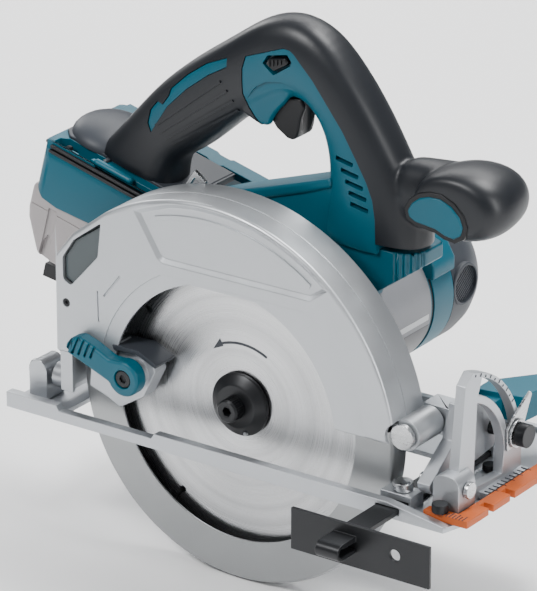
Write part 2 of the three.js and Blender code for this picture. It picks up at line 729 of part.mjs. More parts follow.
// The handle's outer line, from the rear foot over the top and down to the front grip.
const gripLine = smooth([
  [-123, 134], [-102, 155], [-76, 184], [-53, 202], [-31, 216.5], [-12, 230.5], [6.5, 236], [29, 231],
  [46, 216], [60.5, 199], [71, 181.5], [82, 170.5],
], 30);
const shellLine = offsetLine(gripLine, rubberT);
const handLine = smooth([
  [-73, 122], [-68, 138], [-53, 148], [-37, 160], [-22, 168], [-9, 172.8], [-3, 174.5], [1, 182], [7, 188.5],
  [13, 190.5], [20, 187], [26, 180.5], [30, 171], [31, 160], [29.5, 152.5],
], 32);
const legBackX = 87;
const legBottomZ = 117;
const beamBottom = [[31, legBottomZ], [-29, 111.5], [-64, 103]];
const triggerHalfW = 8;

function belowCarrierTop() {
  const rear = carrierX - 20;
  return slabY([[rear, carrierTopZ(rear)], [rear, 0], [-65, 0], [-65, carrierTopZ(-65)]],
    gripY - gripHalfW - 2, gripY + gripHalfW + 2);
}

function housingHalf(y0, y1) {
  const outline = [
    ...shellLine, [86, 153.5], [93, 124.5], [legBackX, legBottomZ], ...beamBottom, [-64, 100], [-123, 100],
  ];
  const hole = [...handLine, [3.4, 144.5], [-24.8, 135], [-57, 122.5]];
  const pocket = [
    [-31, 183.5], [-17, 199.5], [5, 209.5], [19, 201.5], [23, 187], [16, 172], [4, 164], [-6.4, 168], [-7, 177],
    [-12, 179.6], [-26, 178],
  ];
  const inner = y0 < gripY - 1 ? [gripY - triggerHalfW - runGap, y1 + 1] : [y0 - 1, gripY + triggerHalfW + runGap];
  return slabY(outline, y0, y1)
    .subtract(slabY(hole, y0 - 1, y1 + 1))
    .subtract(slabY(pocket, ...inner))
    .subtract(belowCarrierTop())
    .subtract(block(lockX - 10, lockX + 10, gripY - gripHalfW - 1, gripY - gripHalfW + 4, lockZ - 5, lockZ + 5));
}

function gripRubber() {
  const inner = offsetLine(gripLine, rubberT - gap);
  return slabY([...gripLine, ...inner.reverse()], gripY - gripHalfW - 1, gripY + gripHalfW + 1)
    .subtract(belowCarrierTop());
}

const frontGripX = 119;
const frontGripZ = 157.5;
const frontGripY0 = 17.4;

function frontGrip() {
  const profile = [[0, 0], [17, 0], [22, 3.6], [24, 12.6], [23, 23.6], [22, 35.6], [18, 43.6], [10, 47.6], [0, 48.6]]
    .map(([r, y]) => new THREE.Vector2(r, frontGripY0 + y));
  const grip = solid(new THREE.LatheGeometry(profile, 32).scale(1.12, 1, 0.8)
    .translate(frontGripX, 0, frontGripZ));
  const neck = slabY([[89, 129.5], [97, 127.5], [113, 143.5], [113, 171.5], [95, 171.5], [84, 169.5], [88, 153.5]],
    gripY - gripHalfW, gripY + gripHalfW);
  const wide = [gripY - 30, gripY + 30];
  return grip.add(neck)
    .subtract(slabY([...shellLine, [86.3, 153.5], [93.3, 124.5], [60, 110]], ...wide))
    .subtract(slabY([...gripLine, ...offsetLine(gripLine, 12).reverse()], ...wide))
    .subtract(slabY([[40, 225], [82.4, 170.9], [86, 163.5], [50, 163.5]], ...wide));
}

function gripCap() {
  const cap = new THREE.CylinderGeometry(15, 13.5, 2.4, 24).scale(1.1, 1, 0.7);
  return solid(cap.translate(frontGripX - 4, frontGripY0 - gap - 1.2, frontGripZ - 4));
}

function trigger() {
  const outline = [
    [-4.6, 178.5], [-2.9, 173.5], [1.8, 170], [7.3, 167.5], [11, 168.5], [12.3, 173], [13.5, 180], [16.5, 187],
    [14, 191.4], [3, 191], [-10, 185.5], [-10, 181],
  ];
  return slabY(outline, gripY - triggerHalfW, gripY + triggerHalfW);
}

const lockX = 4;
const lockZ = 212;

function lockOffLever() {
  return block(lockX - 9, lockX + 9, gripY - gripHalfW - 3, gripY - gripHalfW + 0.5, lockZ - 4, lockZ + 4);
}

function switchBody() {
  const outline = [[-27, 186.1], [-17, 196.5], [5, 206.1], [11, 201.1], [3, 194.6], [-12, 191.4]];
  return slabY(outline, gripY - triggerHalfW, gripY + triggerHalfW);
}

function handleGroup() {
  piece(sawBody, 'handle_shell_right', housingHalf(gripY - gripHalfW, gripY - gap / 2), teal);
  piece(sawBody, 'handle_shell_left', housingHalf(gripY + gap / 2, gripY + gripHalfW), teal);
  piece(sawBody, 'handle_rubber', gripRubber(), rubber);
  piece(sawBody, 'front_grip', frontGrip(), rubber);
  piece(sawBody, 'front_grip_cap', gripCap(), teal);
  piece(sawBody, 'power_switch', switchBody(), blackPlastic);
  piece(bodyGroup(sawBody), 'trigger', trigger(), blackPlastic);
  piece(bodyGroup(sawBody), 'lock_off_lever', lockOffLever(), blackPlastic);
}

// ---------------------------------------------------------------- battery carrier

const carrier = bodyGroup(sawBody);
carrier.position.set(carrierX, carrierNearY, carrierZ);
carrier.rotation.y = tilt;
const carrierW = packW + 1;
const bayW = 8;               // the wrench bay along the near edge
const stripW = 12;            // the carrier's bare strip along the far edge
const railInset = 8;
const packRail = 6;
const packFrontX = 71;        // a longer pack reaches further back, as the depth guide stands before it
const packRearX = packFrontX - packLen;
const packDraft = 12;         // the pack's rear face leans in below its button
const buttonRearX = packRearX - 1.5;
const buttonT = 5;
const buttonTravel = 3;
const buttonInset = 24;
const buttonZ0 = -carrierH - 21.4;
const buttonZ1 = -carrierH - 6.6;

function batteryCarrier() {
  const roof = block(0, carrierLen, 0, carrierW, -carrierH, -3);
  return roof
    .subtract(block(-1, carrierLen - 5, railInset, packW - railInset, -carrierH - 1, -carrierH + packRail))
    .subtract(block(-1, carrierLen + 1, -1, bayW, -7.4, 0));
}

function carrierCover() {
  return block(4, carrierLen - 8, bayW + gap, carrierW - stripW, -3 + gap, coverT);
}

function batteryPack() {
  const shell = slabY([
    [packRearX, -carrierH - gap], [packRearX, buttonZ0 - 4], [packRearX + packDraft, -carrierH - packH],
    [packFrontX, -carrierH - packH], [packFrontX, -carrierH - gap],
  ], 1, packW - 1);
  const foot = block(packRearX + 4, carrierLen - 14, railInset + runGap, packW - railInset - runGap,
    -carrierH - 1, -carrierH + packRail - runGap);
  const buttonRecess = block(packRearX - 1, buttonRearX + buttonT + buttonTravel + gap,
    buttonInset, packW - buttonInset, buttonZ0 - runGap, buttonZ1 + runGap);
  return shell.add(foot).subtract(buttonRecess);
}

function packButton() {
  return block(buttonRearX, buttonRearX + buttonT, buttonInset + runGap, packW - buttonInset - runGap,
    buttonZ0, buttonZ1);
}

function hexWrench() {
  const legR = 2.4;
  return rod('x', legR, 0, carrierLen - 12, 3, -4.3, 8)
    .add(rod('y', legR, 3, 14, 1.5, -4.3, 8).intersect(block(-5, 10, 0, 7.6, -10, 10)));
}

function carrierGroup() {
  piece(carrier, 'battery_carrier', batteryCarrier(), teal);
  piece(carrier, 'carrier_cover', carrierCover(), darkPlastic);
  const pack = bodyGroup(carrier);
  piece(pack, 'battery_pack', batteryPack(), packGrey);
  piece(bodyGroup(pack), 'pack_button', packButton(), blackPlastic);
  piece(bodyGroup(carrier), 'hex_wrench', hexWrench(), blackSteel);
}

// ---------------------------------------------------------------- depth lever

const clampAngle = 183;
const [depthBoltX, depthBoltZ] = polar(depthX, depthZ, guideArcR, clampAngle);
const depthLeverY = guideArcY + 9 + runGap;

function depthBolt() {
  return rod('y', 1.9, caseFarY + gap, depthLeverY + 9, depthBoltX, depthBoltZ, 12);
}

function depthLever() {
  const arm = [
    [depthBoltX - 7, depthBoltZ - 4], [depthBoltX + 4, depthBoltZ - 7], [depthBoltX + 7, depthBoltZ + 4],
    [-120, 62], [-148, 66], [-150, 58], [-122, 54],
  ];
  return slabY(arm, depthLeverY, depthLeverY + 7)
    .subtract(rod('y', 2.2, depthLeverY - 1, depthLeverY + 10, depthBoltX, depthBoltZ, 12));
}

// ---------------------------------------------------------------- the saw

baseGroup();
bevelGroup();
piece(sawBody, 'blade_case', bladeCase(), silverPaint);
const guardGroup = bodyGroup(sawBody);
piece(guardGroup, 'lower_guard', lowerGuard(), guardMetal);
piece(guardGroup, 'retract_lever', retractLever(), teal);
piece(guardGroup, 'lever_screw', leverScrew(), blackSteel);
spindleGroup();
piece(sawBody, 'gear_housing', gearHousing(), castAluminium);
piece(sawBody, 'gear_cover', gearCover(), castAluminium);
piece(sawBody, 'front_spindle_bearing',
  ring('y', bearingR, spindleR + gap, frontBearingY, frontBearingY + 8, 0, spindleZ, 32), steel);
piece(sawBody, 'rear_spindle_bearing',
  ring('y', rearBearingR, spindleR + gap, rearBearingY, rearBearingY + 7, 0, spindleZ, 32), steel);
motorFixedParts();
motorGroup();
handleGroup();
carrierGroup();
piece(sawBody, 'depth_bolt', depthBolt(), steel);
piece(bodyGroup(sawBody), 'depth_lever', depthLever(), blackPlastic);
saw.position.y = -soleMarkY;

export default saw;
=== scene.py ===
"""A cordless circular saw: looks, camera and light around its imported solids.

Shapes are drawn in millimetres on the saw's own axes: x along the cut from the spindle, y from the blade's
middle plane towards the motor, z up from the sole. put() moves a finished shape into the frame.
"""
import json
import math

import bmesh
import bpy
from mathutils import Matrix, Vector


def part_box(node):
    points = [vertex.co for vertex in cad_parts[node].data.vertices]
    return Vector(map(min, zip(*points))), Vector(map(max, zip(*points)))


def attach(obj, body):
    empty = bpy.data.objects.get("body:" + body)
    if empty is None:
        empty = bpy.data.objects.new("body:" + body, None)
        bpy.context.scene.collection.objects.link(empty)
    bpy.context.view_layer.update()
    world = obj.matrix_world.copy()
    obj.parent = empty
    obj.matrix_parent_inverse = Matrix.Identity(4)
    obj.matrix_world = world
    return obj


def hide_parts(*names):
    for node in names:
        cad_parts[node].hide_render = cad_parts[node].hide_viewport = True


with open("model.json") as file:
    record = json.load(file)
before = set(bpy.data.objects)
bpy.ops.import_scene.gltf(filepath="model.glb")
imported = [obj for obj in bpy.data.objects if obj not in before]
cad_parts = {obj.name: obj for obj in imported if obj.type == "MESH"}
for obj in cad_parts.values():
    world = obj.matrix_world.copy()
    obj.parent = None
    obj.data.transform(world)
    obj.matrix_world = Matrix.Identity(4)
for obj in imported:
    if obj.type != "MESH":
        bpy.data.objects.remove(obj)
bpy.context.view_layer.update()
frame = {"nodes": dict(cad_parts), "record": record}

MM = 0.001
BLADE_LOW, BLADE_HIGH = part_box("saw_blade")
BLADE_MID = (BLADE_LOW + BLADE_HIGH) / 2
SPINDLE_Z = BLADE_MID.z / MM
PLACE = Matrix.Translation((0, BLADE_MID.y, 0)) @ Matrix.Diagonal((MM, MM, MM, 1))
SEAM = 0.35                    # the dark joint between two housings
EASE = 0.4                     # the smallest rounding of a moulded or cast edge

# Each drawing plane's own u, v and w (depth) directions, as columns.
PLANES = {
    "xz": Matrix(((1, 0, 0, 0), (0, 0, -1, 0), (0, 1, 0, 0), (0, 0, 0, 1))),
    "yz": Matrix(((0, 0, 1, 0), (1, 0, 0, 0), (0, 1, 0, 0), (0, 0, 0, 1))),
    "xy": Matrix.Identity(4),
}


# ---------------------------------------------------------------- camera, light and floor

def camera():
    azimuth, elevation, distance = math.radians(34.95), math.radians(22.39), 2.4
    back = Vector((math.sin(azimuth) * math.cos(elevation), -math.cos(azimuth) * math.cos(elevation),
                   math.sin(elevation)))
    right = Vector((math.cos(azimuth), math.sin(azimuth), 0))
    up = back.cross(right)
    aim = Vector((0, BLADE_MID.y, BLADE_MID.z)) + right * 0.01359 + up * 0.05714
    data = bpy.data.cameras.new("camera")
    data.lens = 274.1
    data.sensor_width = 36
    data.clip_end = 20
    eye = bpy.data.objects.new("camera", data)
    eye.location = aim + back * distance
    eye.rotation_mode = "QUATERNION"
    eye.rotation_quaternion = Matrix((right, up, back)).transposed().to_quaternion()
    bpy.context.collection.objects.link(eye)
    bpy.context.scene.camera = eye


def lamp(name, place, size, power, aim=(0, 0, 0.08)):
    data = bpy.data.lights.new(name, "AREA")
    data.shape = "RECTANGLE"
    data.size, data.size_y = size
    data.energy = power
    light = bpy.data.objects.new(name, data)
    light.location = place
    light.rotation_mode = "QUATERNION"
    light.rotation_quaternion = (Vector(place) - Vector(aim)).to_track_quat("Z", "Y")
    bpy.context.collection.objects.link(light)


def studio():
    lamp("key", (-0.45, -1.25, 1.35), (0.45, 0.45), 26)
    lamp("front_strip", (1.5, -0.3, 0.7), (0.2, 1.2), 15)
    lamp("top_bank", (0.3, 0.5, 1.6), (0.8, 0.4), 30)
    lamp("rear_fill", (-1.4, 0.7, 0.8), (0.4, 0.6), 8)
    lamp("backdrop", (-0.9, 1.6, 1.7), (2.2, 1.0), 60, (-0.9, 1.9, 0))
    world = bpy.data.worlds.new("studio")
    world.use_nodes = True
    world.node_tree.nodes["Background"].inputs["Color"].default_value = (0.93, 0.95, 1, 1)
    world.node_tree.nodes["Background"].inputs["Strength"].default_value = 0.26
    bpy.context.scene.world = world


def floor():
    bm = bmesh.new()
    bmesh.ops.create_grid(bm, x_segments=1, y_segments=1, size=6)
    mesh = bpy.data.meshes.new("floor")
    bm.to_mesh(mesh)
    bm.free()
    plane = bpy.data.objects.new("floor", mesh)
    plane.location.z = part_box("lower_guard")[0].z - 0.0005
    bpy.context.collection.objects.link(plane)
    pale = bpy.data.materials.new("pale_floor")
    pale.use_nodes = True
    shader = pale.node_tree.nodes["Principled BSDF"]
    shader.inputs["Base Color"].default_value = (0.94, 0.94, 0.94, 1)
    shader.inputs["Roughness"].default_value = 0.7
    mesh.materials.append(pale)


# ---------------------------------------------------------------- finishes

def new_look(name, color, roughness, metallic=0.0, **sockets):
    look = bpy.data.materials.new(name)
    look.use_nodes = True
    shader = look.node_tree.nodes["Principled BSDF"]
    shader.inputs["Base Color"].default_value = (*color, 1)
    shader.inputs["Roughness"].default_value = roughness
    shader.inputs["Metallic"].default_value = metallic
    for socket, value in sockets.items():
        shader.inputs[socket.replace("_", " ")].default_value = value
    return look


def add_node(look, kind, **values):
    node = look.node_tree.nodes.new(kind)
    for key, value in values.items():
        if key in node.inputs:
            node.inputs[key].default_value = value
        else:
            setattr(node, key, value)
    return node


def wire(look, source, target):
    look.node_tree.links.new(source, target)


def texture(look, kind="ShaderNodeTexNoise", stretch=(1, 1, 1), centre=(0, 0, 0), **values):
    """A pattern on the piece's own coordinates, in the frame's metres."""
    coordinates = add_node(look, "ShaderNodeTexCoord")
    mapping = add_node(look, "ShaderNodeMapping", Scale=stretch)
    mapping.inputs["Location"].default_value = tuple(-c * s for c, s in zip(centre, stretch))
    pattern = add_node(look, kind, **values)
    wire(look, coordinates.outputs["Object"], mapping.inputs["Vector"])
    wire(look, mapping.outputs["Vector"], pattern.inputs["Vector"])
    return pattern


def shader_of(look):
    return look.node_tree.nodes["Principled BSDF"]


def spread(look, value, low, high, socket="Roughness", start=0.3, stop=0.7):
    """The pattern's value moves a shader value between low and high."""
    ramp = add_node(look, "ShaderNodeMapRange")
    for key, amount in (("From Min", start), ("From Max", stop), ("To Min", low), ("To Max", high)):
        ramp.inputs[key].default_value = amount
    wire(look, value, ramp.inputs["Value"])
    wire(look, ramp.outputs["Result"], shader_of(look).inputs[socket])


def tint(look, value, first, second, start=0.35, stop=0.65):
    """The colour moves from first to second with the pattern."""
    ramp = add_node(look, "ShaderNodeValToRGB")
    ramp.color_ramp.elements[0].position = start
    ramp.color_ramp.elements[1].position = stop
    ramp.color_ramp.elements[0].color = (*first, 1)
    ramp.color_ramp.elements[1].color = (*second, 1)
    wire(look, value, ramp.inputs["Fac"])
    wire(look, ramp.outputs["Color"], shader_of(look).inputs["Base Color"])


def relief(look, value, depth, strength=1.0):
    """The pattern stands out of the surface by depth, in metres; a second call adds to the first."""
    bump = add_node(look, "ShaderNodeBump", Distance=depth, Strength=strength)
    wire(look, value, bump.inputs["Height"])
    normal = shader_of(look).inputs["Normal"]
    if normal.is_linked:
        wire(look, normal.links[0].from_socket, bump.inputs["Normal"])
    wire(look, bump.outputs["Normal"], normal)


def moulded(name, color, roughness, grain=1500, depth=0.00004, **sockets):
    """Moulded plastic: a fine spark-eroded grain and slow changes of gloss and shade."""
    look = new_look(name, color, roughness, **sockets)
    shader_of(look).inputs["Specular IOR Level"].default_value = 0.34
    fine = texture(look, Scale=grain, Detail=2.0)
    slow = texture(look, Scale=14.0, Detail=3.0)
    relief(look, fine.outputs["Fac"], depth, 0.6)
    spread(look, slow.outputs["Fac"], roughness - 0.06, roughness + 0.08)
    dark = tuple(c * 0.86 for c in color)
    tint(look, slow.outputs["Fac"], dark, color)
    return look


def cast(name, color, roughness, metallic, grain=700, depth=0.00009):
    """Cast and painted or blasted metal: a soft pebbled skin with small dark pits."""
    look = new_look(name, color, roughness, metallic)
    skin = texture(look, Scale=grain, Detail=4.0)
    slow = texture(look, Scale=22.0, Detail=4.0)
    pits = texture(look, "ShaderNodeTexVoronoi", Scale=260.0)
    relief(look, skin.outputs["Fac"], depth, 0.7)
    relief(look, pits.outputs["Distance"], depth * 0.5, 0.3)
    spread(look, slow.outputs["Fac"], roughness - 0.08, roughness + 0.1)
    tint(look, slow.outputs["Fac"], tuple(c * 0.9 for c in color), color)
    return look


def drawn(name, color, roughness, along=(1, 1, 1), grain=160, depth=0.00003):
    """Bright steel with fine lines left by drawing or rolling."""
    look = new_look(name, color, roughness, 1.0)
    lines = texture(look, stretch=along, Scale=grain, Detail=5.0)
    slow = texture(look, Scale=40.0, Detail=3.0)
    relief(look, lines.outputs["Fac"], depth, 0.5)
    spread(look, lines.outputs["Fac"], roughness - 0.08, roughness + 0.12)
    tint(look, slow.outputs["Fac"], tuple(c * 0.82 for c in color), color)
    return look


def ground_steel():
    """The blade: ground in rings about its bore, so that light stands on it as a bright bow."""
    look = new_look("ground_steel", (0.56, 0.565, 0.575), 0.3, 1.0, Anisotropic=0.82)
    coordinates = add_node(look, "ShaderNodeTexCoord")
    away = add_node(look, "ShaderNodeVectorMath", operation="SUBTRACT")
    away.inputs[1].default_value = BLADE_MID
    flat = add_node(look, "ShaderNodeVectorMath", operation="MULTIPLY")
    flat.inputs[1].default_value = (1, 0, 1)
    radius = add_node(look, "ShaderNodeVectorMath", operation="LENGTH")
    rings = add_node(look, "ShaderNodeTexNoise", noise_dimensions="1D", Scale=2600.0, Detail=3.0)
    broad = add_node(look, "ShaderNodeTexNoise", noise_dimensions="1D", Scale=120.0, Detail=2.0)
    wire(look, coordinates.outputs["Object"], away.inputs[0])
    wire(look, away.outputs["Vector"], flat.inputs[0])
    wire(look, flat.outputs["Vector"], radius.inputs[0])
    wire(look, radius.outputs["Value"], rings.inputs["W"])
    wire(look, radius.outputs["Value"], broad.inputs["W"])
    turn = add_node(look, "ShaderNodeTangent", direction_type="RADIAL", axis="Y")
    wire(look, turn.outputs["Tangent"], shader_of(look).inputs["Tangent"])
    relief(look, rings.outputs["Fac"], 0.00002, 0.35)
    spread(look, rings.outputs["Fac"], 0.22, 0.38)
    tint(look, broad.outputs["Fac"], (0.5, 0.505, 0.515), (0.6, 0.605, 0.615))
    return look


def soft_rubber():
    look = moulded("soft_rubber", (0.0075, 0.0092, 0.0125), 0.4, grain=2200, depth=0.00002)
    shader = shader_of(look)
    shader.inputs["Specular IOR Level"].default_value = 0.42
    return look


TEAL = (0.0, 0.088, 0.132)
LOOKS = {
    "silver_paint": cast("silver_paint", (0.50, 0.52, 0.54), 0.38, 0.7, grain=1100, depth=0.00005),
    "cast_aluminium": cast("cast_aluminium", (0.50, 0.52, 0.545), 0.42, 0.85),
    "guard_metal": cast("guard_metal", (0.36, 0.37, 0.375), 0.4, 0.85, grain=1500, depth=0.00003),
    "blade_steel": ground_steel(),
    "steel": drawn("zinc_steel", (0.60, 0.61, 0.62), 0.28, along=(1, 1, 6)),
    "black_steel": cast("black_steel", (0.014, 0.015, 0.017), 0.36, 0.4, grain=1300, depth=0.00004),
    "teal_plastic": moulded("teal_plastic", TEAL, 0.4),
    "grip_rubber": soft_rubber(),
    "dark_plastic": moulded("dark_plastic", (0.036, 0.041, 0.05), 0.44),
    "black_plastic": moulded("black_plastic", (0.006, 0.0065, 0.008), 0.4),
    "orange_plastic": moulded("orange_plastic", (0.5, 0.098, 0.016), 0.45),
    "pack_grey": moulded("pack_grey", (0.36, 0.335, 0.335), 0.45),
    "lamination": drawn("lamination", (0.2, 0.19, 0.185), 0.45, along=(1, 30, 1), grain=60),
    "smoked_window": new_look("smoked_window", (0.045, 0.06, 0.065), 0.16),
    "plate_grey": moulded("plate_grey", (0.22, 0.225, 0.24), 0.3, depth=0.00001),
    "plate_dark": moulded("plate_dark", (0.07, 0.073, 0.08), 0.3, depth=0.00001),
    "plate_white": new_look("plate_white", (0.5, 0.51, 0.52), 0.32),
    "copper": drawn("copper_bars", (0.62, 0.28, 0.14), 0.35, along=(1, 4, 1)),
}


# ---------------------------------------------------------------- drawing tools

def trace(bm, *path):
    """A closed flat outline. A step is the next corner (u, v), or (centre, degrees) for a round stretch."""
    pen = first = bm.verts.new((*path[0], 0))
    for step in path[1:]:
        if isinstance(step[0], tuple):
            centre, degrees = step
            made = bmesh.ops.spin(bm, geom=[pen], cent=(*centre, 0), axis=(0, 0, 1),
                                  steps=max(3, round(abs(degrees) / 4)),
                                  angle=math.radians(degrees))
            pen = next(g for g in made["geom_last"] if isinstance(g, bmesh.types.BMVert))
        else:
            pen = bmesh.ops.extrude_vert_indiv(bm, verts=[pen])["verts"][0]
            pen.co = (*step, 0)
    bm.edges.new((pen, first))
    bmesh.ops.remove_doubles(bm, verts=bm.verts, dist=1e-3)
    return bmesh.ops.contextual_create(bm, geom=bm.edges[:])["faces"]


def raised(bm, faces, depth):
    """Faces of a flat drawing pulled up by depth, which leaves a closed solid."""
    pulled = bmesh.ops.extrude_face_region(bm, geom=faces, use_keep_orig=True)["geom"]
    bmesh.ops.translate(bm, verts=[g for g in pulled if isinstance(g, bmesh.types.BMVert)],
                        vec=(0, 0, depth))
    bmesh.ops.recalc_face_normals(bm, faces=bm.faces)


def slab(plane, path, low, high):
    """An outline drawn on a plane and given its thickness from low to high on the third axis."""
    bm = bmesh.new()
    raised(bm, trace(bm, *path), high - low)
    lift = -high if plane == "xz" else low
    bmesh.ops.transform(bm, matrix=PLANES[plane] @ Matrix.Translation((0, 0, lift)), verts=bm.verts)
    bmesh.ops.recalc_face_normals(bm, faces=bm.faces)
    return bm


def block(low, high):
    bm = bmesh.new()
    bmesh.ops.create_cube(bm, size=1)
    low, high = Vector(low), Vector(high)
    size = Matrix.Diagonal((*(high - low), 1))
    bmesh.ops.transform(bm, matrix=Matrix.Translation((low + high) / 2) @ size, verts=bm.verts)
    return bm


# How a lathe profile's (radius, depth) stands on each axis.
LATHES = {
    "y": Matrix.Identity(4),
    "x": Matrix(((0, 1, 0, 0), (0, 0, 1, 0), (1, 0, 0, 0), (0, 0, 0, 1))),
    "z": Matrix(((1, 0, 0, 0), (0, 0, -1, 0), (0, 1, 0, 0), (0, 0, 0, 1))),
}


def turned(profile, centre, axis="y", degrees=360, start=0, steps=72):
    """A closed (radius, depth) profile spun about an axis through centre; centre gives the zero
    of depth too."""
    bm = bmesh.new()
    bmesh.ops.delete(bm, geom=trace(bm, *profile), context="FACES_ONLY")
    line = "xyz".index(axis)
    place = Matrix.Translation(centre) @ Matrix.Rotation(math.radians(start), 4,
                                                         axis.upper()) @ LATHES[axis]
    bmesh.ops.transform(bm, matrix=place, verts=bm.verts)
    bmesh.ops.spin(bm, geom=bm.verts[:] + bm.edges[:], cent=centre,
                   axis=[float(k == line) for k in range(3)],
                   angle=math.radians(degrees), steps=steps, use_merge=degrees == 360)
    bmesh.ops.remove_doubles(bm, verts=bm.verts, dist=1e-3)
    bmesh.ops.holes_fill(bm, edges=[e for e in bm.edges if e.is_boundary], sides=0)
    bmesh.ops.recalc_face_normals(bm, faces=bm.faces)
    return bm


def loft(rings, sides=12, square=2.6):
    """A closed skin over rings (centre, half, other half), where the two halves are vectors
    across the form."""
    bm = bmesh.new()
    before = []
    for centre, across, out in rings:
        made = bmesh.ops.create_circle(bm, cap_ends=False, radius=1, segments=sides)["verts"]
        for v in made:
            shares = [math.copysign(abs(c) ** (2 / square), c) for c in v.co[:2]]
            v.co = Vector(centre) + Vector(across) * shares[0] + Vector(out) * shares[1]
        edges = list({e for v in made for e in v.link_edges})
        if before:
            bmesh.ops.bridge_loops(bm, edges=before + edges)
        else:
            bmesh.ops.contextual_create(bm, geom=edges)
        before = edges
    bmesh.ops.contextual_create(bm, geom=before)
    bmesh.ops.recalc_face_normals(bm, faces=bm.faces)
    return bm


def raw_object(bm, name="shape"):
    mesh = bpy.data.meshes.new(name)
    bm.to_mesh(mesh)
    bm.free()
    made = bpy.data.objects.new(name, mesh)
    bpy.context.collection.objects.link(made)
    return made


def finished(made):
    """What an object's modifiers make of it, as a new drawing; the object goes."""
    bm = bmesh.new()
    bm.from_object(made, bpy.context.evaluated_depsgraph_get())
    mesh = made.data
    bpy.data.objects.remove(made)
    bpy.data.meshes.remove(mesh)
    return bm


def combined(bm, tool, how="DIFFERENCE"):
    """A solid cut by, joined with or kept inside another closed solid."""
    made = raw_object(bm)
    cutter = raw_object(tool, "tool")
    modifier = made.modifiers.new("cut", "BOOLEAN")
    modifier.object = cutter
    modifier.operation = how
    modifier.solver = "EXACT"
    result = finished(made)
    mesh = cutter.data
    bpy.data.objects.remove(cutter)
    bpy.data.meshes.remove(mesh)
    return result


def cut(bm, *tools):
    for tool in tools:
        bm = combined(bm, tool)
    return bm


def joined(bm, *others):
    for other in others:
        bm = combined(bm, other, "UNION")
    return bm


def together(*shapes):
    """Separate closed solids in one drawing, each left as it is."""
    whole = bmesh.new()
    for bm in shapes:
        mesh = bpy.data.meshes.new("part")
        bm.to_mesh(mesh)
        bm.free()
        whole.from_mesh(mesh)
        bpy.data.meshes.remove(mesh)
    return whole


def refined(bm, voxel, smoothing):
    """The same solid remade in small even faces, with its creases melted as in a moulding."""
    made = raw_object(bm)
    even = made.modifiers.new("even", "REMESH")
    even.mode = "VOXEL"
    even.voxel_size = voxel
    melt = made.modifiers.new("melt", "SMOOTH")
    melt.factor = 0.5
    melt.iterations = smoothing
    return finished(made)


def subdivided(bm, levels=2):
    made = raw_object(bm)
    modifier = made.modifiers.new("smooth", "SUBSURF")
    modifier.levels = modifier.render_levels = levels
    return finished(made)


def cad_copy(node):
    """A CAD node's solid on the drawing axes, with its loose triangles merged into flat faces."""
    bm = bmesh.new()
    bm.from_mesh(frame["nodes"][node].data)
    bmesh.ops.transform(bm, matrix=PLACE.inverted(), verts=bm.verts)
    bmesh.ops.remove_doubles(bm, verts=bm.verts, dist=0.01)
    return flattened(bm)


def flattened(bm, degrees=1.2):
    bmesh.ops.dissolve_limit(bm, angle_limit=math.radians(degrees), verts=bm.verts, edges=bm.edges)
    return bm


def eased(bm, width=EASE, segments=2, sharp=32, where=None):
    """Rounds every edge that turns by more than sharp degrees."""
    flattened(bm)
    turn = math.radians(sharp)
    edges = [e for e in bm.edges if len(e.link_faces) == 2 and e.calc_face_angle() > turn
             and (where is None or where(e))]
    bmesh.ops.bevel(bm, geom=edges, offset=width, segments=segments, profile=0.5, affect="EDGES",
                    clamp_overlap=False, material=-1)
    return bm


def put(name, bm, body, slot, look=None, replaces=(), turn=38, weighted=True):
    """Moves a finished drawing into the frame as a piece that rides on a body."""
    bmesh.ops.transform(bm, matrix=PLACE, verts=bm.verts)
    made = raw_object(bm, name)
    made.data.materials.clear()
    made.data.materials.append(LOOKS[look or slot])
    made.data.shade_smooth()
    made.data.set_sharp_from_angle(angle=math.radians(turn))
    if weighted:
        weight = made.modifiers.new("weighted", "WEIGHTED_NORMAL")
        weight.keep_sharp = True
    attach(made, body)
    if replaces:
        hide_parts(*replaces)
    return made


# ---------------------------------------------------------------- pieces kept close to their solids

BODY_OF = {node: body for body, nodes in frame["record"]["behaviour"]["bodies"].items() for node in nodes}
SLOT_OF = {part["node"]: part["material_slot"] for part in frame["record"]["subparts"]}


def rounded_copy(node, width=EASE, name=None, look=None, **options):
    """A node's own shape with its edges rounded, for parts that are already right."""
    put(name or f"{node}_shape", eased(cad_copy(node), width, **options), BODY_OF[node], SLOT_OF[node],
        look, [node])


MADE = set()                   # nodes that a piece of its own stands for


def make(name, bm, node, look=None, replaces=(), **options):
    """A piece on a node's body, in its slot, that stands for the nodes in replaces."""
    MADE.update(replaces)
    return put(name, bm, BODY_OF[node], SLOT_OF[node], look, replaces, **options)


# ---------------------------------------------------------------- blade case

CASE_NEAR, CASE_FAR = -20.0, 10.6
RIM_FROM, RIM_TO = 8, 128      # degrees of the rim that runs out like a dust channel
CASE_WALL = 2.6
OPENING_R = 72.4


def rim(inset, start=RIM_FROM, stop=RIM_TO, steps=48):
    """Points on the rim's line: its radius grows from 110 mm at the front towards the rear."""
    line = []
    for i in range(steps + 1):
        degrees = start + (stop - start) * i / steps
        radius = 110 + 14 * ((degrees - RIM_FROM) / 120) ** 2 - inset
        angle = math.radians(degrees)
        line.append((radius * math.cos(angle), SPINDLE_Z + radius * math.sin(angle)))
    return line


def case_outline(inset, floor_z):
    rear = [(-98 + inset * 0.8, 107.5 - inset * 0.8), (-110 + inset, 92.5 - inset * 0.3),
            (-107 + inset, 34)]
    line = rim(inset)
    return [*line, *rear, (-107 + inset, floor_z), (line[0][0], floor_z)]


def disc(radius, low, high, centre=(0, SPINDLE_Z), steps=96):
    return turned([(0, low), (radius, low), (radius, high), (0, high)], (centre[0], 0, centre[1]),
                  steps=steps)


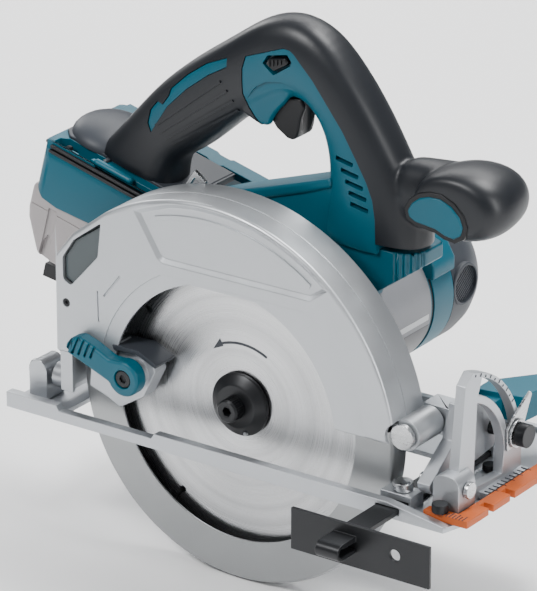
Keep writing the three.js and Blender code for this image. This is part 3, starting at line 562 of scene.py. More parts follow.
def panel_tool():
    """The sunk field on the case's near face, with sloping sides."""
    bm = bmesh.new()
    faces = trace(bm, (-56.8, 130.6), (-41.6, 106.4), (-37.7, 104.3), (56.5, 104.9), *rim(2.2, 52, 107, 20))
    pulled = bmesh.ops.extrude_face_region(bm, geom=faces, use_keep_orig=True)["geom"]
    bmesh.ops.translate(bm, verts=[g for g in pulled if isinstance(g, bmesh.types.BMVert)], vec=(0, 0, -1))
    bed = [g for g in pulled if isinstance(g, bmesh.types.BMFace)]
    bmesh.ops.inset_region(bm, faces=bed, thickness=2.6, depth=0, use_even_offset=True)
    bmesh.ops.translate(bm, verts=list({v for f in bed for v in f.verts}), vec=(0, 0, -1.7))
    bmesh.ops.transform(bm, matrix=PLANES["xz"] @ Matrix.Translation((0, 0, 1 - CASE_NEAR)), verts=bm.verts)
    bmesh.ops.recalc_face_normals(bm, faces=bm.faces)
    return bm


def blade_opening(radius, flat_z, low, high):
    """A round opening with a flat top."""
    return combined(disc(radius, low, high), block((-120, low - 1, -90), (120, high + 1, flat_z)),
                    "INTERSECT")


def blade_case():
    shell = slab("xz", case_outline(0, 36), CASE_NEAR, CASE_FAR)
    eased(shell, 2.2, 4, where=lambda e: all(abs(v.co.y - CASE_NEAR) < 0.01 for v in e.verts))
    cavity = slab("xz", case_outline(CASE_WALL, -10), CASE_NEAR + CASE_WALL, CASE_FAR - 2.2)
    ring_step = slab("xz", [(-81, 30), ((0, SPINDLE_Z), -58), (-36, 97.9), (51, 97.9), (58, 96.4),
                            (66.6, 89.4),
                            ((0, SPINDLE_Z), -42)], CASE_NEAR - 1, CASE_NEAR + 0.9)
    window = eased(slab("xz", [(-78, 118.6), (-80.4, 98), (-99, 77.2), (-104.4, 80), (-104.6, 93),
                               (-96.8, 104.4)],
                        CASE_NEAR - 1, CASE_NEAR + 5), 2, 3)
    slots = [slab("xz", [(-81.7, 78.4), (-81.2, 60.8), (-80.2, 60.8), (-80.7, 78.4)], CASE_NEAR - 1,
                  CASE_NEAR + 1),
             slab("xz", [(-66.6, 90.5), (-77.4, 76.8), (-76.7, 76.1), (-65.9, 89.8)], CASE_NEAR - 1,
                  CASE_NEAR + 1)]
    seam = combined(slab("xz", case_outline(-3, 20), -5.6, -5.1), slab("xz", case_outline(0.5, 0), -9, 0))
    far = combined(disc(44, CASE_FAR - 2.2, CASE_FAR), block((-60, 0, 4.5), (60, 20, 100)), "INTERSECT")
    rear_plate = slab("xz", [(-107, 14), (-60, 14), (-40, 36), (-107, 40)], CASE_FAR - 2.2, CASE_FAR)
    leg = joined(block((-107, CASE_NEAR, 14.5), (-104.4, CASE_FAR, 38)),
                 block((-107, CASE_NEAR, 14.5), (-99, -17.4, 38)))
    ear = disc(8.6, -13, CASE_FAR, (112, 41), 36)
    body = cut(shell, cavity, ring_step, panel_tool(), blade_opening(OPENING_R, 95.8, CASE_NEAR - 2,
                                                                     CASE_NEAR + 4),
               window, *slots, seam, disc(2.4, CASE_NEAR - 1, CASE_NEAR + 1.8, (-102.4, 66.8), 24),
               disc(8.2, CASE_NEAR - 1, -13.6, (112, 41), 36))
    body = joined(body, far, rear_plate, leg, ear)
    body = cut(body, disc(16.1, 0, 20), disc(4.3, -30, 30, (112, 41), 32))
    make("blade_case_shell", eased(body, 0.35, 2, 30), "blade_case", replaces=["blade_case"])
    ridge = slab("xz", [*rim(8.6, 57, 113, 28), *rim(11.2, 57, 113, 28)[::-1]], CASE_NEAR + 0.9,
                 CASE_NEAR + 2.4)
    make("case_ridge", eased(ridge, 0.5, 2, 50), "blade_case")
    pane = slab("xz", [(-78.6, 116), (-81, 98.2), (-98.8, 78.2), (-103.8, 80.6), (-104, 92.6),
                       (-96.6, 103.6)],
                CASE_NEAR + 2.2, CASE_NEAR + 4.6)
    make("case_window", eased(pane, 0.5), "blade_case", "smoked_window")
    make("case_screw", socket_screw(2.3, 1.6, (-102.4, CASE_NEAR + 0.4, 66.8)), "blade_case", "black_steel")


def socket_screw(radius, height, place, socket=0.5):
    """A round screw head that faces -y, with a hexagonal socket."""
    x, y, z = place
    head = disc(radius, y, y + height, (x, z), 40)
    key = turned([(0, y - 1), (radius * socket, y - 1), (radius * socket, y + height * 0.6),
                  (0, y + height * 0.6)],
                 (x, 0, z), steps=6)
    return eased(cut(head, key), radius * 0.09, 2, 28)


# ---------------------------------------------------------------- guard, lever and blade

GUARD_R, GUARD_INNER = 101.0, 77.0
LEVER_X, LEVER_Z = -58.0, 36.0


def lower_guard():
    profile = [(GUARD_INNER, -7.2), (98.2, -7), (100, -6.4), (GUARD_R, -4.8), (GUARD_R, 4.8), (100.2, 6.3),
               (98.6, 6.7),
               (16.4, 6.7), (16.4, 5.3), (98.2, 5.3), (99.6, 4.4), (99.6, -4.4), (98.4, -5.6), (78, -5.6),
               (GUARD_INNER, -6)]
    shell = turned(profile, (0, 0, SPINDLE_Z), degrees=196, start=-6, steps=98)
    lug = slab("xz", [(-88, 44), (-70, 50), (-48, 43), (-46, 38), (-54, 22), (-70, 12), (-78, 16),
                      (-90, 20)], -16.4, -5.6)
    hub = disc(7.5, -20.7, -15, (LEVER_X, LEVER_Z), 40)
    shell = joined(shell, turned([(16.4, 5.3), (22, 5.3), (22, 8), (16.4, 8)], (0, 0, SPINDLE_Z)))
    make("guard_shell", eased(shell, 0.3, 2, 40), "lower_guard", replaces=["lower_guard"])
    make("guard_bracket", eased(joined(lug, hub), 0.6, 2, 30), "lower_guard", "cast_aluminium")
    cap = slab("xz", [(-72, 49.6), (-55, 50.2), (-42.4, 44.4), (-43.4, 42.2), (-56, 47.6), (-71, 46.8)],
               -20, -3)
    make("bracket_cap", eased(cap, 0.4), "lower_guard", "dark_plastic")


def retract_lever():
    arm = slab("xz", [(LEVER_X - 9.2, LEVER_Z - 4), ((LEVER_X, LEVER_Z), 262), (-67, 45.5), (-78, 50.6),
                      (-87, 53.6),
                      (-92.5, 52), (-96.4, 47), (-95.2, 42.6), (-84, 38.6)], -30, -21)
    arm = eased(arm, 1.8, 4, 25)
    grooves = [slab("xz", [(x, 56), (x - 5.4, 43.4), (x - 4.2, 42.8), (x + 1.2, 55.4)], -34, -28.2)
               for x in (-74.6, -78.6, -82.6, -86.6, -90.6)]
    arm = cut(arm, disc(5.3, -31, -27.2, (LEVER_X, LEVER_Z), 40), *grooves)
    make("retract_lever_body", eased(arm, 0.4, 2, 32), "retract_lever", replaces=["retract_lever"])
    make("lever_screw_head", socket_screw(4.7, 2.6, (LEVER_X, -29.4, LEVER_Z)), "lever_screw",
         replaces=["lever_screw"])


TEETH = 24
PLATE_HALF = 0.7
KERF_HALF = 1.0


def saw_blade():
    step = 360 / TEETH
    bm = bmesh.new()
    tooth = [(0, 94.2), (0.4, 87.2), (2.2, 84.8), (4.4, 86.6), (7.4, 92.2), (10.6, 93.6), (15, 94.2)]
    chain = [bm.verts.new((r * math.cos(math.radians(a)), r * math.sin(math.radians(a)), 0)) for a,
             r in tooth]
    edges = [bm.edges.new(pair) for pair in zip(chain, chain[1:])]
    bmesh.ops.spin(bm, geom=chain + edges, cent=(0, 0, 0), axis=(0, 0, 1), angle=math.radians(360 - step),
                   steps=TEETH - 1, use_duplicate=True)
    bmesh.ops.remove_doubles(bm, verts=bm.verts, dist=1e-2)
    raised(bm, bmesh.ops.contextual_create(bm, geom=bm.edges[:])["faces"], 2 * PLATE_HALF)
    bmesh.ops.transform(bm, matrix=Matrix.Translation((0, 0, SPINDLE_Z)) @ PLANES["xz"]
                        @ Matrix.Translation((0, 0, -PLATE_HALF)), verts=bm.verts)
    bmesh.ops.recalc_face_normals(bm, faces=bm.faces)
    cuts = []
    for k in range(4):
        turn = Matrix.Translation((0, 0, SPINDLE_Z)) @ Matrix.Rotation(math.radians(90 * k + 33), 4, "Y")
        slot = joined(block((73, -3, -0.5), (92, 3, 0.5)), disc(2, -3, 3, (72.5, 0), 24))
        bmesh.ops.transform(slot, matrix=turn, verts=slot.verts)
        cuts.append(slot)
    bm = cut(bm, disc(15, -4, 4), *cuts)
    make("blade_plate", bm, "saw_blade", replaces=["saw_blade"], weighted=False)
    tips = bmesh.new()
    bmesh.ops.create_cube(tips, size=1)
    bmesh.ops.transform(tips, matrix=Matrix.Translation((91.5, 0, SPINDLE_Z + 0.9))
                        @ Matrix.Diagonal((7, 2 * KERF_HALF, 2, 1)),
                        verts=tips.verts)
    bmesh.ops.spin(tips, geom=tips.faces[:], cent=(0, 0, SPINDLE_Z), axis=(0, 1, 0),
                   angle=math.radians(360 - step),
                   steps=TEETH - 1, use_duplicate=True)
    make("carbide_tips", tips, "saw_blade", "steel")
    arrow = turned([(33.4, -0.85), (34.8, -0.85), (34.8, -0.6), (33.4, -0.6)], (0, 0, SPINDLE_Z),
                   degrees=50, start=-112, steps=24)
    head = slab("xz", [(-12.2, 56.6), (-18.8, 53.6), (-14.4, 60.6)], -0.85, -0.6)
    make("turning_arrow", arrow, "saw_blade", "dark_plastic")
    make("turning_arrow_head", head, "saw_blade", "dark_plastic")


def clamping():
    """The outer flange and the bolt that clamp the blade."""
    flange = turned([(5.2, -1.3), (17.8, -1.3), (17.8, -3.2), (16.9, -4.2), (13, -6.6), (12, -7.1),
                     (5.2, -7.1)],
                    (0, 0, SPINDLE_Z), steps=96)
    mark = disc(1.1, -6.2, -3, (5.5, SPINDLE_Z - 14.8), 16)
    make("outer_flange_disc", eased(flange, 0.25, 2, 25), "outer_flange", replaces=["outer_flange"])
    make("flange_mark", mark, "outer_flange", "silver_paint")
    head = turned([(0, -7.4), (6.5, -7.4), (6.5, -14.4), (5.6, -15.4), (3.6, -15.4), (3.2, -15.1),
                   (0, -15.1)],
                  (0, 0, SPINDLE_Z), steps=60)
    socket = turned([(0, -17), (2.9, -17), (2.9, -11), (0, -11)], (0, 0, SPINDLE_Z), steps=6)
    shank = disc(4.9, -8, 12, steps=32)
    knurl = [block((-0.35, -14.2, 6.1), (0.35, -8.2, 7)) for _ in range(30)]
    for k, groove in enumerate(knurl):
        bmesh.ops.transform(groove, matrix=Matrix.Translation((0, 0, SPINDLE_Z))
                            @ Matrix.Rotation(math.radians(12 * k), 4, "Y"),
                            verts=groove.verts)
    head = cut(head, socket, together(*knurl))
    make("blade_bolt_head", joined(head, shank), "blade_bolt", replaces=["blade_bolt"])


# ---------------------------------------------------------------- sole

TILT_Y, TILT_Z = -8.0, 17.5    # the axis that the saw tilts about


def quadrant_scale():
    """Raised marks on the outer band of the bevel quadrant, one for every five degrees of tilt."""
    marks = []
    for k in range(10):
        mark = block((141.8, TILT_Y - 0.3, TILT_Z + 58.5), (142.3, TILT_Y + 0.3,
                                                            TILT_Z + (60.5 if k % 2 else 59.8)))
        turn = Matrix.Rotation(math.radians(-14 - 5 * k), 3, "X")
        bmesh.ops.rotate(mark, verts=mark.verts, cent=(0, TILT_Y, TILT_Z), matrix=turn)
        marks.append(mark)
    make("quadrant_marks", together(*marks), "bevel_quadrant", "dark_plastic")


def guide_lines():
    """Ruled lines across the near end of the line-of-cut plate and along the rest of it."""
    near = [block((x - 0.25, -23.4, 7.3), (x + 0.25, -19.6 if k % 2 else -18.2, 7.72)) for k,
            x in enumerate(range(142, 156, 2))]
    along = [block((144, y - 0.25, 7.3), (150 if k % 2 else 148, y + 0.25, 7.72)) for k,
             y in enumerate(range(14, 54, 4))]
    make("guide_ruling", together(*near, *along), "top_guide", "dark_plastic")


# ---------------------------------------------------------------- handle

GRIP_Y = 41.0
OUTER_LINE = [(-124, 131), (-112, 144), (-101, 156), (-88, 171), (-75, 184.5), (-53, 202), (-31, 216.5),
              (-12, 230.5),
              (6.5, 236), (27, 230.5), (43, 215), (57, 197.5), (68.5, 180), (79, 162), (88, 146), (91, 124),
              (88, 112)]
INNER_LINE = [(-70, 117), (-69, 128), (-67, 138.5), (-60.5, 144), (-51, 149.5), (-37, 161.5), (-22, 175),
              (-8, 182),
              (4, 190), (14, 191.5), (23, 185), (28.5, 176), (31, 165), (31.5, 154), (30, 143), (26, 128),
              (26, 112)]
LOBE = [(-24, 183), (-20, 177.6), (-13, 174.6), (-7.4, 172.6), (-2.8, 173.6), (-2.4, 177), (0.6, 181.8),
        (6.6, 188.4),
        (10, 194), (-10, 198)]
TRIGGER_SHADE = [(-17.4, 185.8), (-13.5, 191.7), (-10.6, 195.2), (-4.1, 199.3), (5.7, 201), (11.8, 199.4),
                 (17.9, 194.7),
                 (22.7, 189.3), (29, 178), (24, 160), (-20, 160)]
HALF_WIDTHS = [19, 16.4, 14.8, 14.2, 14.2, 14.6, 15, 15, 15, 15, 15, 15, 15, 15, 15, 15, 15]


def handle_form():
    """The whole handle as one rounded form, from its rear foot over the grip and down its front leg."""
    rings = []
    for outer, inner, half in zip(OUTER_LINE, INNER_LINE, HALF_WIDTHS):
        outer, inner = Vector((outer[0], GRIP_Y, outer[1])), Vector((inner[0], GRIP_Y, inner[1]))
        rings.append(((outer + inner) / 2, (outer - inner) / 2 * 1.04, Vector((0, half * 1.05, 0))))
    form = subdivided(loft(rings, 16, 2.8), 2)
    neck_rings = [((x, GRIP_Y, z), (0, 0, h), (0, w, 0)) for x, z, h, w in
                  ((72, 150, 20, 13.5), (86, 153, 19, 14), (98, 155, 17.5, 16), (110, 157, 16, 19),
                   (122, 158, 14, 18))]
    neck = subdivided(loft(neck_rings, 16, 2.5), 2)
    knob_rings = [((119 + dx, y, FRONT_GRIP_Z), (27.5 * r, 0, 0), (0, 0, 19.5 * r)) for dx, y, r in
                  ((-3, 17.4, 0.62), (-3, 18.2, 0.8), (-1, 22, 0.93), (0, 31, 1.02), (0, 41, 1.0),
                   (0.5, 52, 0.9), (1, 60, 0.72),
                   (1, 64.5, 0.48), (1, 66, 0.2))]
    knob = subdivided(loft(knob_rings, 20, 2.1), 2)
    lobe = eased(slab("xz", LOBE, GRIP_Y - 12.6, GRIP_Y + 12.6), 2.2, 4)
    return refined(joined(form, lobe, neck, knob), 1.1, 10)


FRONT_GRIP_Z = 157.0
FOOT_TILT = math.radians(14.5)


def below_carrier():
    """Everything under the battery carrier's sloping cover, behind the handle's front leg."""
    top = lambda x: 142 - (x + 138) * math.tan(FOOT_TILT) + 1.4
    return slab("xz", [(-160, top(-160)), (-160, 60), (-55, 60), (-55, top(-55))], GRIP_Y - 30, GRIP_Y + 30)


def grown(bm, amount):
    for v in bm.verts:
        v.co += v.normal * amount
    return bm


PANEL = [(-16.4, 211), (-5.3, 215.2), (7.4, 220.0), (11.5, 219.6), (14.4, 217.8), (26.1, 206.2),
         (45.1, 182), (53.4, 168.5),
         (60.1, 157), (64, 147.7), (65.7, 137.3), (66.2, 120), (66, 100), (0, 100), (0, 160), (-6, 168),
         (-8.6, 174),
         (-12, 177.4), (-16.1, 182.7), (-18.4, 190), (-18.4, 204)]
INLAY = [(-79, 155.6), (-81, 160.2), (-79.8, 167.7), (-75.5, 173.2), (-71.6, 172.4), (-67.6, 178),
         (-66.5, 182.3),
         (-55.9, 192.1), (-43.3, 200.9), (-28.8, 207.4), (-28.9, 202.6), (-41.3, 195.5), (-56, 184.4),
         (-68.7, 171.9)]
LEG_FOOT_Z = 124.0


def widened(points, amount):
    """The same closed outline, grown sideways; the points run clockwise seen from -y or the other
    way round."""
    area = sum(a[0] * b[1] - b[0] * a[1] for a, b in zip(points, points[1:] + points[:1]))
    side = amount if area > 0 else -amount
    moved = []
    for before, here, after in zip(points[-1:] + points[:-1], points, points[1:] + points[:1]):
        d = (Vector(after) - Vector(before)).normalized()
        moved.append((here[0] + d.y * side, here[1] - d.x * side))
    return moved


LEG_VENTS = [(40.2, 167), (43.6, 161), (46.6, 155.2), (48.8, 149.4), (50, 143.4)]
GRIP_RIBS = [(-65.9, 151.8, -22.8, 179.8), (-69.4, 154.4, -24.9, 185.2), (-72.8, 157.4, -28.4, 190.2),
             (-75.8, 160.8, -32.6, 194.6)]


def handle():
    form = cut(handle_form(), below_carrier())
    wide = (GRIP_Y - 40, GRIP_Y + 40)
    hollow = grown(form.copy(), -1.1)
    inner_core = grown(form.copy(), -0.6)
    panel = combined(grown(form.copy(), -0.5), slab("xz", PANEL, *wide), "INTERSECT")
    shades = [slab("xz", TRIGGER_SHADE, *sorted((GRIP_Y + side * 13.1,
                                                 GRIP_Y + side * 30))) for side in (-1, 1)]
    vents = [eased(slab("xz", [(x, z - 1.6), (x + 11.4, z - 3.5), (x + 11.8, z - 1), (x + 0.4, z + 1)],
                        GRIP_Y - 30, GRIP_Y - 9.4),
                   0.5) for x, z in LEG_VENTS]
    panel = cut(panel, block((-200, -60, 60), (200, 160, LEG_FOOT_Z - 6)), *shades, trigger_pocket(),
                lock_recess(), *vents)
    rubber = cut(form, slab("xz", widened(PANEL, SEAM), *wide), block((40, -60, 60),
                                                                      (200, 160, LEG_FOOT_Z)))
    parting = slab("xz", [(-140, 100), (160, 100), (160, 250), (-140, 250)], GRIP_Y - 0.22, GRIP_Y + 0.22)
    rubber = cut(rubber, combined(parting, hollow))
    ribs = [slab("xz", [(x0, z0), (x1, z1), (x1 + 0.7, z1 - 1.1), (x0 + 0.7, z0 - 1.1)], *wide) for x0, z0,
            x1, z1 in GRIP_RIBS]
    raised_ribs = combined(combined(grown(rubber.copy(), 0.8), together(*ribs), "INTERSECT"),
                           block((-90, GRIP_Y - 7, 140), (0, GRIP_Y + 7, 230)))
    for side in (-1, 1):
        rubber = cut(rubber, slab("xz", widened(INLAY, SEAM), *sorted((GRIP_Y + side * 6,
                                                                       GRIP_Y + side * 40))))
    inlay = combined(inner_core, slab("xz", INLAY, *wide), "INTERSECT")
    make("handle_rubber_shell", flattened(rubber, 0.3), "handle_rubber", weighted=False,
         replaces=["handle_rubber", "front_grip"])
    make("grip_ribs", raised_ribs, "handle_rubber", weighted=False)
    make("handle_panel", flattened(panel, 0.3), "handle_shell_right", weighted=False,
         replaces=["handle_shell_right", "handle_shell_left"])
    make("handle_inlay", flattened(inlay, 0.3), "handle_shell_right", weighted=False)
    # painted shade: a thin black sheet at the bottom of the leg vents, standing in for the shadow inside
    # them
    make("vent_painted_shade", block((38, GRIP_Y - 9.8, 138), (60, GRIP_Y - 9.2, 170)), "handle_shell_right",
         "black_plastic")


def trigger_pocket():
    return slab("xz", [(-8, 158), (-6.6, 178), (-1, 190), (12, 195), (20, 191), (30, 176), (30, 158)],
                GRIP_Y - 8.8, GRIP_Y + 8.8)


def lock_recess():
    tool = slab("xz", [(-5.6, 209.6), (-2.6, 214.4), (10, 217.2), (13, 213.4), (11.6, 211), (1.2, 204)],
                GRIP_Y - 30, GRIP_Y - 10.4)
    return eased(tool, 0.8, 3)


CAP = [(92.4, 152), (95, 156.6), (99.4, 160.2), (105, 162), (112, 162.2), (119, 159.4), (124, 154.6),
       (126, 149.6), (124.6, 144.6),
       (120.7, 142.2), (115, 143), (109.4, 145.3), (103.6, 146), (97.4, 146.6), (93.4, 148.6)]


def grip_cap():
    """The coloured bean set into the near end of the front grip, in a black recess."""
    bean = eased(slab("xz", CAP, 15.9, 19.5), 0.9, 4, 40)
    make("grip_cap_bean", bean, "front_grip_cap", replaces=["front_grip_cap"])
    make("grip_cap_bed", eased(slab("xz", widened(CAP, 2.6), 16.8, 20.5), 0.6, 3, 40), "front_grip",
         "black_plastic")


def finger_controls():
    """The trigger, hollowed for the finger, and the lock-off slider in its recess."""
    grip = slab("xz", [(-5.4, 178.5), (-3.6, 174.5), (-1.6, 172), (1.8, 169.8), (5, 167.8), (8.4, 167.2),
                       (11, 168.8), (12.3, 173),
                       (13.5, 180), (16.5, 187), (14, 191.4), (3, 191), (-9, 185.5), (-9, 181)], GRIP_Y - 8,
                GRIP_Y + 8)
    hollow = turned([(0, 150), (6.4, 150), (6.4, 200), (0, 200)], (17.2, GRIP_Y + 0.6, 0), "z")
    grip = cut(eased(grip, 1.5, 4, 25), hollow)
    make("trigger_grip", eased(grip, 0.5, 2, 50), "trigger", replaces=["trigger"])
    slider = eased(slab("xz", [(-3.4, 209.8), (-1.6, 213), (9, 215.2), (11, 213), (10, 211.4),
                               (1.8, 206.4)],
                        GRIP_Y - 15.6, GRIP_Y - 10.8), 0.9, 3)
    ribs = [block((x, GRIP_Y - 16.2, 208.6 + (x + 2) * 0.35), (x + 0.9, GRIP_Y - 15,
                                                               212.4 + (x + 2) * 0.2))
               for x in (-1, 1.4, 3.8, 6.2)]
    make("lock_slider", joined(slider, *ribs), "lock_off_lever", replaces=["lock_off_lever"])


def beam():
    """The lower bar of the D, from the battery carrier to the leg, and the housing it grows out of."""
    bar = slab("xz", [(-62, 119), (-57, 122.4), (-24.8, 135), (3.4, 144.5), (37, 155.6), (37, 149.6),
                      (19.7, 143), (-11.3, 132.3),
                      (-36, 124.5), (-62, 114)], 27.6, 46.4)
    bmesh.ops.translate(bar, vec=(0, 0, -1.6), verts=bar.verts)
    bar = eased(bar, 2.2, 4, 25)
    web = slab("xz", [(-64, 118), (-38, 126), (-11.3, 134.4), (19.7, 145), (40, 151), (40, 116),
                      (-24, 110.5), (-64, 103)],
               29.4, 44.6)
    make("handle_beam", joined(bar, eased(web, 1.2, 3)), "handle_shell_right")


MOTOR_X, MOTOR_Z, MOTOR_R = 7.0, 54.5, 39.5
PLATE_Y0, BAND_Y0, BAND_Y1 = 58.0, 113.0, 133.9


def motor_slice(radius, low, high, first, last):
    """A stretch of the motor housing's skin between two angles above the level."""
    return turned([(radius - 1, low), (radius, low), (radius, high), (radius - 1, high)],
                  (MOTOR_X, 0, MOTOR_Z),
                  degrees=first - last, start=-first, steps=40)


def motor():
    centre = (MOTOR_X, 0, MOTOR_Z)
    tube = turned([(37, 43.3), (MOTOR_R, 43.3), (MOTOR_R, BAND_Y0), (38.7, BAND_Y0 + 0.2),
                   (38.7, BAND_Y0 + 1.4),
                   (40, BAND_Y0 + 1.6), (40, BAND_Y1), (37, BAND_Y1)], centre, steps=96)
    corner = 14
    neck = slab("xy", [(-24, 30), (88 - corner, 30), ((88 - corner, 30 + corner), 90), (88, 58), (60, 72),
                       (-24, 74)], 66, 120)
    flutes = [disc_z(1.1, 60, 125, 88 - corner + (corner + 0.5) * math.sin(math.radians(a)),
                     30 + corner - (corner + 0.5) * math.cos(math.radians(a))) for a in (8, 24, 40, 56, 72)]
    side = slab("xz", [(-30, 60), (20, 60), (40, 74), (46, 86), (66, 96), (88.2, 112), (88.2, 119.6),
                       (84, 121.4), (-24, 112)], 20, 80)
    neck = combined(cut(neck, *flutes), side, "INTERSECT")
    ramp = slab("xz", [(40, 70), (47.6, 70), (47.6, 78), (42, 88), (31, 97), (16, 99), (10, 92), (10, 60)],
                112, BAND_Y1)
    bore = disc(37, 40, 140, (MOTOR_X, MOTOR_Z))
    housing = cut(joined(tube, eased(neck, 1, 3), eased(ramp, 1.6, 3)), bore)
    make("motor_tube", eased(housing, 0.35, 2, 34), "motor_housing", replaces=["motor_housing"])
    make("rating_plate", motor_slice(MOTOR_R + 0.35, PLATE_Y0, BAND_Y0 - 1.6, -52, 46), "motor_housing",
         "plate_grey")
    make("plate_foot", motor_slice(MOTOR_R + 0.5, PLATE_Y0, BAND_Y0 - 2.2, -52, -14), "motor_housing",
         "plate_dark")
    make("plate_rule", motor_slice(MOTOR_R + 0.6, PLATE_Y0, BAND_Y0 - 4, -9, -4), "motor_housing",
         "plate_white")
    make("motor_seam", turned([(38, BAND_Y0 - 0.3), (39.3, BAND_Y0 - 0.3), (39.3, BAND_Y0 + 1.6),
                               (38, BAND_Y0 + 1.6)], centre,
                              steps=96), "motor_housing", "black_plastic")
    end_cap()


def disc_z(radius, low, high, x, y):
    return turned([(0, low), (radius, low), (radius, high), (0, high)], (x, y, 0), "z", steps=24)


def end_cap():
    """The grey cap that closes the motor, with a round finned air inlet on its front side."""
    cap = turned([(37, 134.4), (39.8, 134.4), (39.9, 150), (38.6, 158), (35.4, 166), (30, 173.4),
                  (23.4, 179), (16, 181.6),
                  (0, 182), (0, 176), (20, 174), (33, 160), (37, 150)], (MOTOR_X, 0, MOTOR_Z), steps=96)
    inlet = turned([(0, 30), (10.6, 30), (10.6, 60), (0, 60)], (0, 146, 57), "x", steps=48)
    collar = turned([(10.6, 38), (12.4, 38), (12.4, 46.6), (11.8, 47.2), (10.6, 47.2)], (0, 146, 57), "x",
                    steps=60)
    make("motor_cap_shell", cut(cap, inlet), "motor_end_cap", replaces=["motor_end_cap"])
    make("inlet_collar", eased(collar, 0.3, 2, 34), "motor_end_cap")
    # painted shade: a black disc set inside the air inlet, standing in for the shadow in the hollow behind
    # it
    back = turned([(0, 40), (10.8, 40), (10.8, 41), (0, 41)], (0, 146, 57), "x", steps=48)
    make("inlet_painted_shade", back, "motor_end_cap", "black_plastic")
    fins = []
    for k in range(-5, 6):
        half = math.sqrt(10.6 ** 2 - (k * 1.8) ** 2)
        fins.append(block((41, 146 - half, 57 + k * 1.8 - 0.4), (45.4, 146 + half, 57 + k * 1.8 + 0.4)))
    fins = together(*fins)
    bmesh.ops.rotate(fins, verts=fins.verts, cent=(0, 146, 57), matrix=Matrix.Rotation(math.radians(35), 3,
                                                                                       "X"))
    make("inlet_fins", fins, "motor_end_cap", "dark_plastic")
    make("cap_boss", eased(disc(8, 181, 182.8, (MOTOR_X, MOTOR_Z)), 0.5, 2), "motor_end_cap")


# ---------------------------------------------------------------- battery carrier and pack

SLOPE = Matrix.Translation((-138, 11.5, 142)) @ Matrix.Rotation(math.radians(14.5), 4, "Y")


def on_slope(bm):
    """From the carrier's own axes, whose origin is its rear top near corner, to the drawing axes."""
    bmesh.ops.transform(bm, matrix=SLOPE, verts=bm.verts)
    return bm


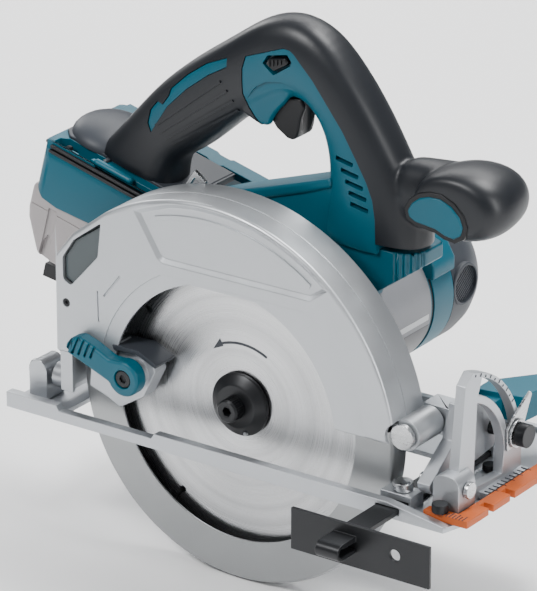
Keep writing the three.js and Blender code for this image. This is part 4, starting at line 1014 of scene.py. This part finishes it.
def carrier():
    plan = slab("xy", [(84, 4), (70, 4), (70, 0.2), (4, 0.2), ((4, 7.2), -90), (-3, 66), ((4, 66), -90),
                       (84, 73)], -40, 0)
    side = slab("xz", [(-2.4, 0), (84, 0), (84, -30), (33, -34), (14, -35.2), (4, -33.8), (-2.6, -28.6),
                       (-3.6, -24)], -5, 80)
    shell = combined(plan, side, "INTERSECT")
    lean = slab("yz", [(-1, -11), (-1, 1.2), (2.8, 1.2), (2.8, -5)], -20, 100)
    bay = slab("xy", [(2, 3.4), (31, 3.4), (31, 14), (6, 14), (2, 10)], -8, 3)
    channel = block((31, 2.8, -5.4), (100, 8.4, 3))
    front = block((70, -5, -40), (100, 4, 5))
    shell = cut(shell, lean, bay, channel, front, block((-20, 6, -40), (70, 66, -27.2)))
    make("carrier_shell", eased(on_slope(shell), 0.5, 3, 36), "battery_carrier",
         replaces=["battery_carrier"])
    for k, z in enumerate((-2.2, -4.6)):
        y = 1.5 - k * 0.75
        rail = joined(block((2, y - 0.6, z - 0.9), (82, y + 1.6, z + 0.9)))
        if k == 0:
            rail = joined(rail, block((-3.4, 4, z - 0.9), (-1.8, 20, z + 0.9)))
        make(f"carrier_trim_{k}", eased(on_slope(rail), 0.5, 3), "battery_carrier", "black_plastic")
    strip = slab("xz", [(2, -3), (2, 1.6), (64, 1.6), (66, 0.6), (73, 0.6), (75, 1.6), (99, 1.6),
                        (103, -2.4), (84, -3)], 61.6, 72.6)
    make("carrier_strip", eased(on_slope(strip), 0.7, 3), "battery_carrier")
    clip = eased(block((29, 3.6, -2.4), (55, 8, 2.4)), 1.9, 5)
    make("wrench_clip", on_slope(joined(clip, eased(block((27, 4.4, -6), (30, 7.4, 1)), 0.6))),
         "battery_carrier")
    make("bay_peg", on_slope(eased(block((13, 4, -8), (18, 7, -1)), 0.7, 3)), "battery_carrier")
    cover = slab("xy", [(83, 14), (34, 14), (34, 8.6), (31.6, 8.6), (31.6, 14.4), (4.6, 14.4), (-1, 20),
                        (-1, 54), (7, 61), (83, 61)],
                 -1.5, 1.5)
    hump = subdivided(block((-8, 8, -11), (44, 66, 12.4)), 3)
    cover = joined(eased(cover, 0.6, 3), combined(hump, block((-20, -10, 0), (100, 100, 30)), "INTERSECT"))
    edge = slab("xy", [(84.4, 13.4), (83, 13.4), (83, 61), (84.4, 61)], -3, 1.2)
    make("carrier_lid", eased(on_slope(joined(cover, edge)), 0.3, 2, 45), "carrier_cover",
         replaces=["carrier_cover"])
    key_long = turned([(0, 12), (2.5, 12), (2.5, 70), (0, 70)], (0, 5.6, -3.6), "x", steps=6)
    bend = turned([(0, 3.4), (2.5, 3.4), (2.5, 11), (0, 11)], (9, 0, -3.8), "y", steps=6)
    end = turned([(0, 6), (2.5, 6), (2.5, 13), (0, 13)], (0, 5.6, -3.6), "x", steps=6)
    make("hex_key", eased(on_slope(joined(key_long, end, bend)), 0.25, 1, 40), "hex_wrench",
         replaces=["hex_wrench"])


def battery():
    line = [(-4.6, -28), (-4.8, -44), (-3.6, -50), (6, -68), (10, -70), (71, -70), (71, -28)]
    body = eased(slab("xz", line, 1.4, 70.8), 3.4, 5, 20)
    ledge = eased(slab("xz", [(-3.2, -36), (-3.4, -27.4), (70, -27.4), (70, -36)], 3.4, 68.8), 2.4, 5)
    groove = slab("xy", [(8.6, -1), (9.4, 2.2), (10.6, 3), (13.6, 3), (14.8, 2.2), (15.6, -1)], -80, -38)
    dimple = slab("xz", [(8, -80), (9, -60), (11, -55), (13, -55), (15, -60), (16, -80)], -2, 4.4)
    joint = combined(slab("xz", [(-9, -40.4), (75, -40.4), (75, -39.9), (-9, -39.9)], -1, 75),
                     block((-4.2, 2, -50), (70, 70.2, -30)))
    recess = block((-12, 23.6, -49), (3.6, 48.4, -33))
    shell = cut(joined(body, ledge), groove, dimple, joint, recess)
    make("pack_shell", eased(on_slope(shell), 0.3, 2, 40), "battery_pack", replaces=["battery_pack"])
    key = eased(slab("xz", [(-6.3, -47.6), (-6.8, -41), (-5.8, -34.2), (-1.4, -34.2), (-1.4, -47.6)], 24.8,
                     47.2), 1.1, 4)
    make("pack_button_key", on_slope(key), "pack_button", replaces=["pack_button"])


handle()
grip_cap()
finger_controls()
beam()
motor()
carrier()
battery()
blade_case()
lower_guard()
retract_lever()
saw_blade()
clamping()
quadrant_scale()
guide_lines()
for node in SLOT_OF:
    if node not in MADE:
        rounded_copy(node)

camera()
studio()
floor()
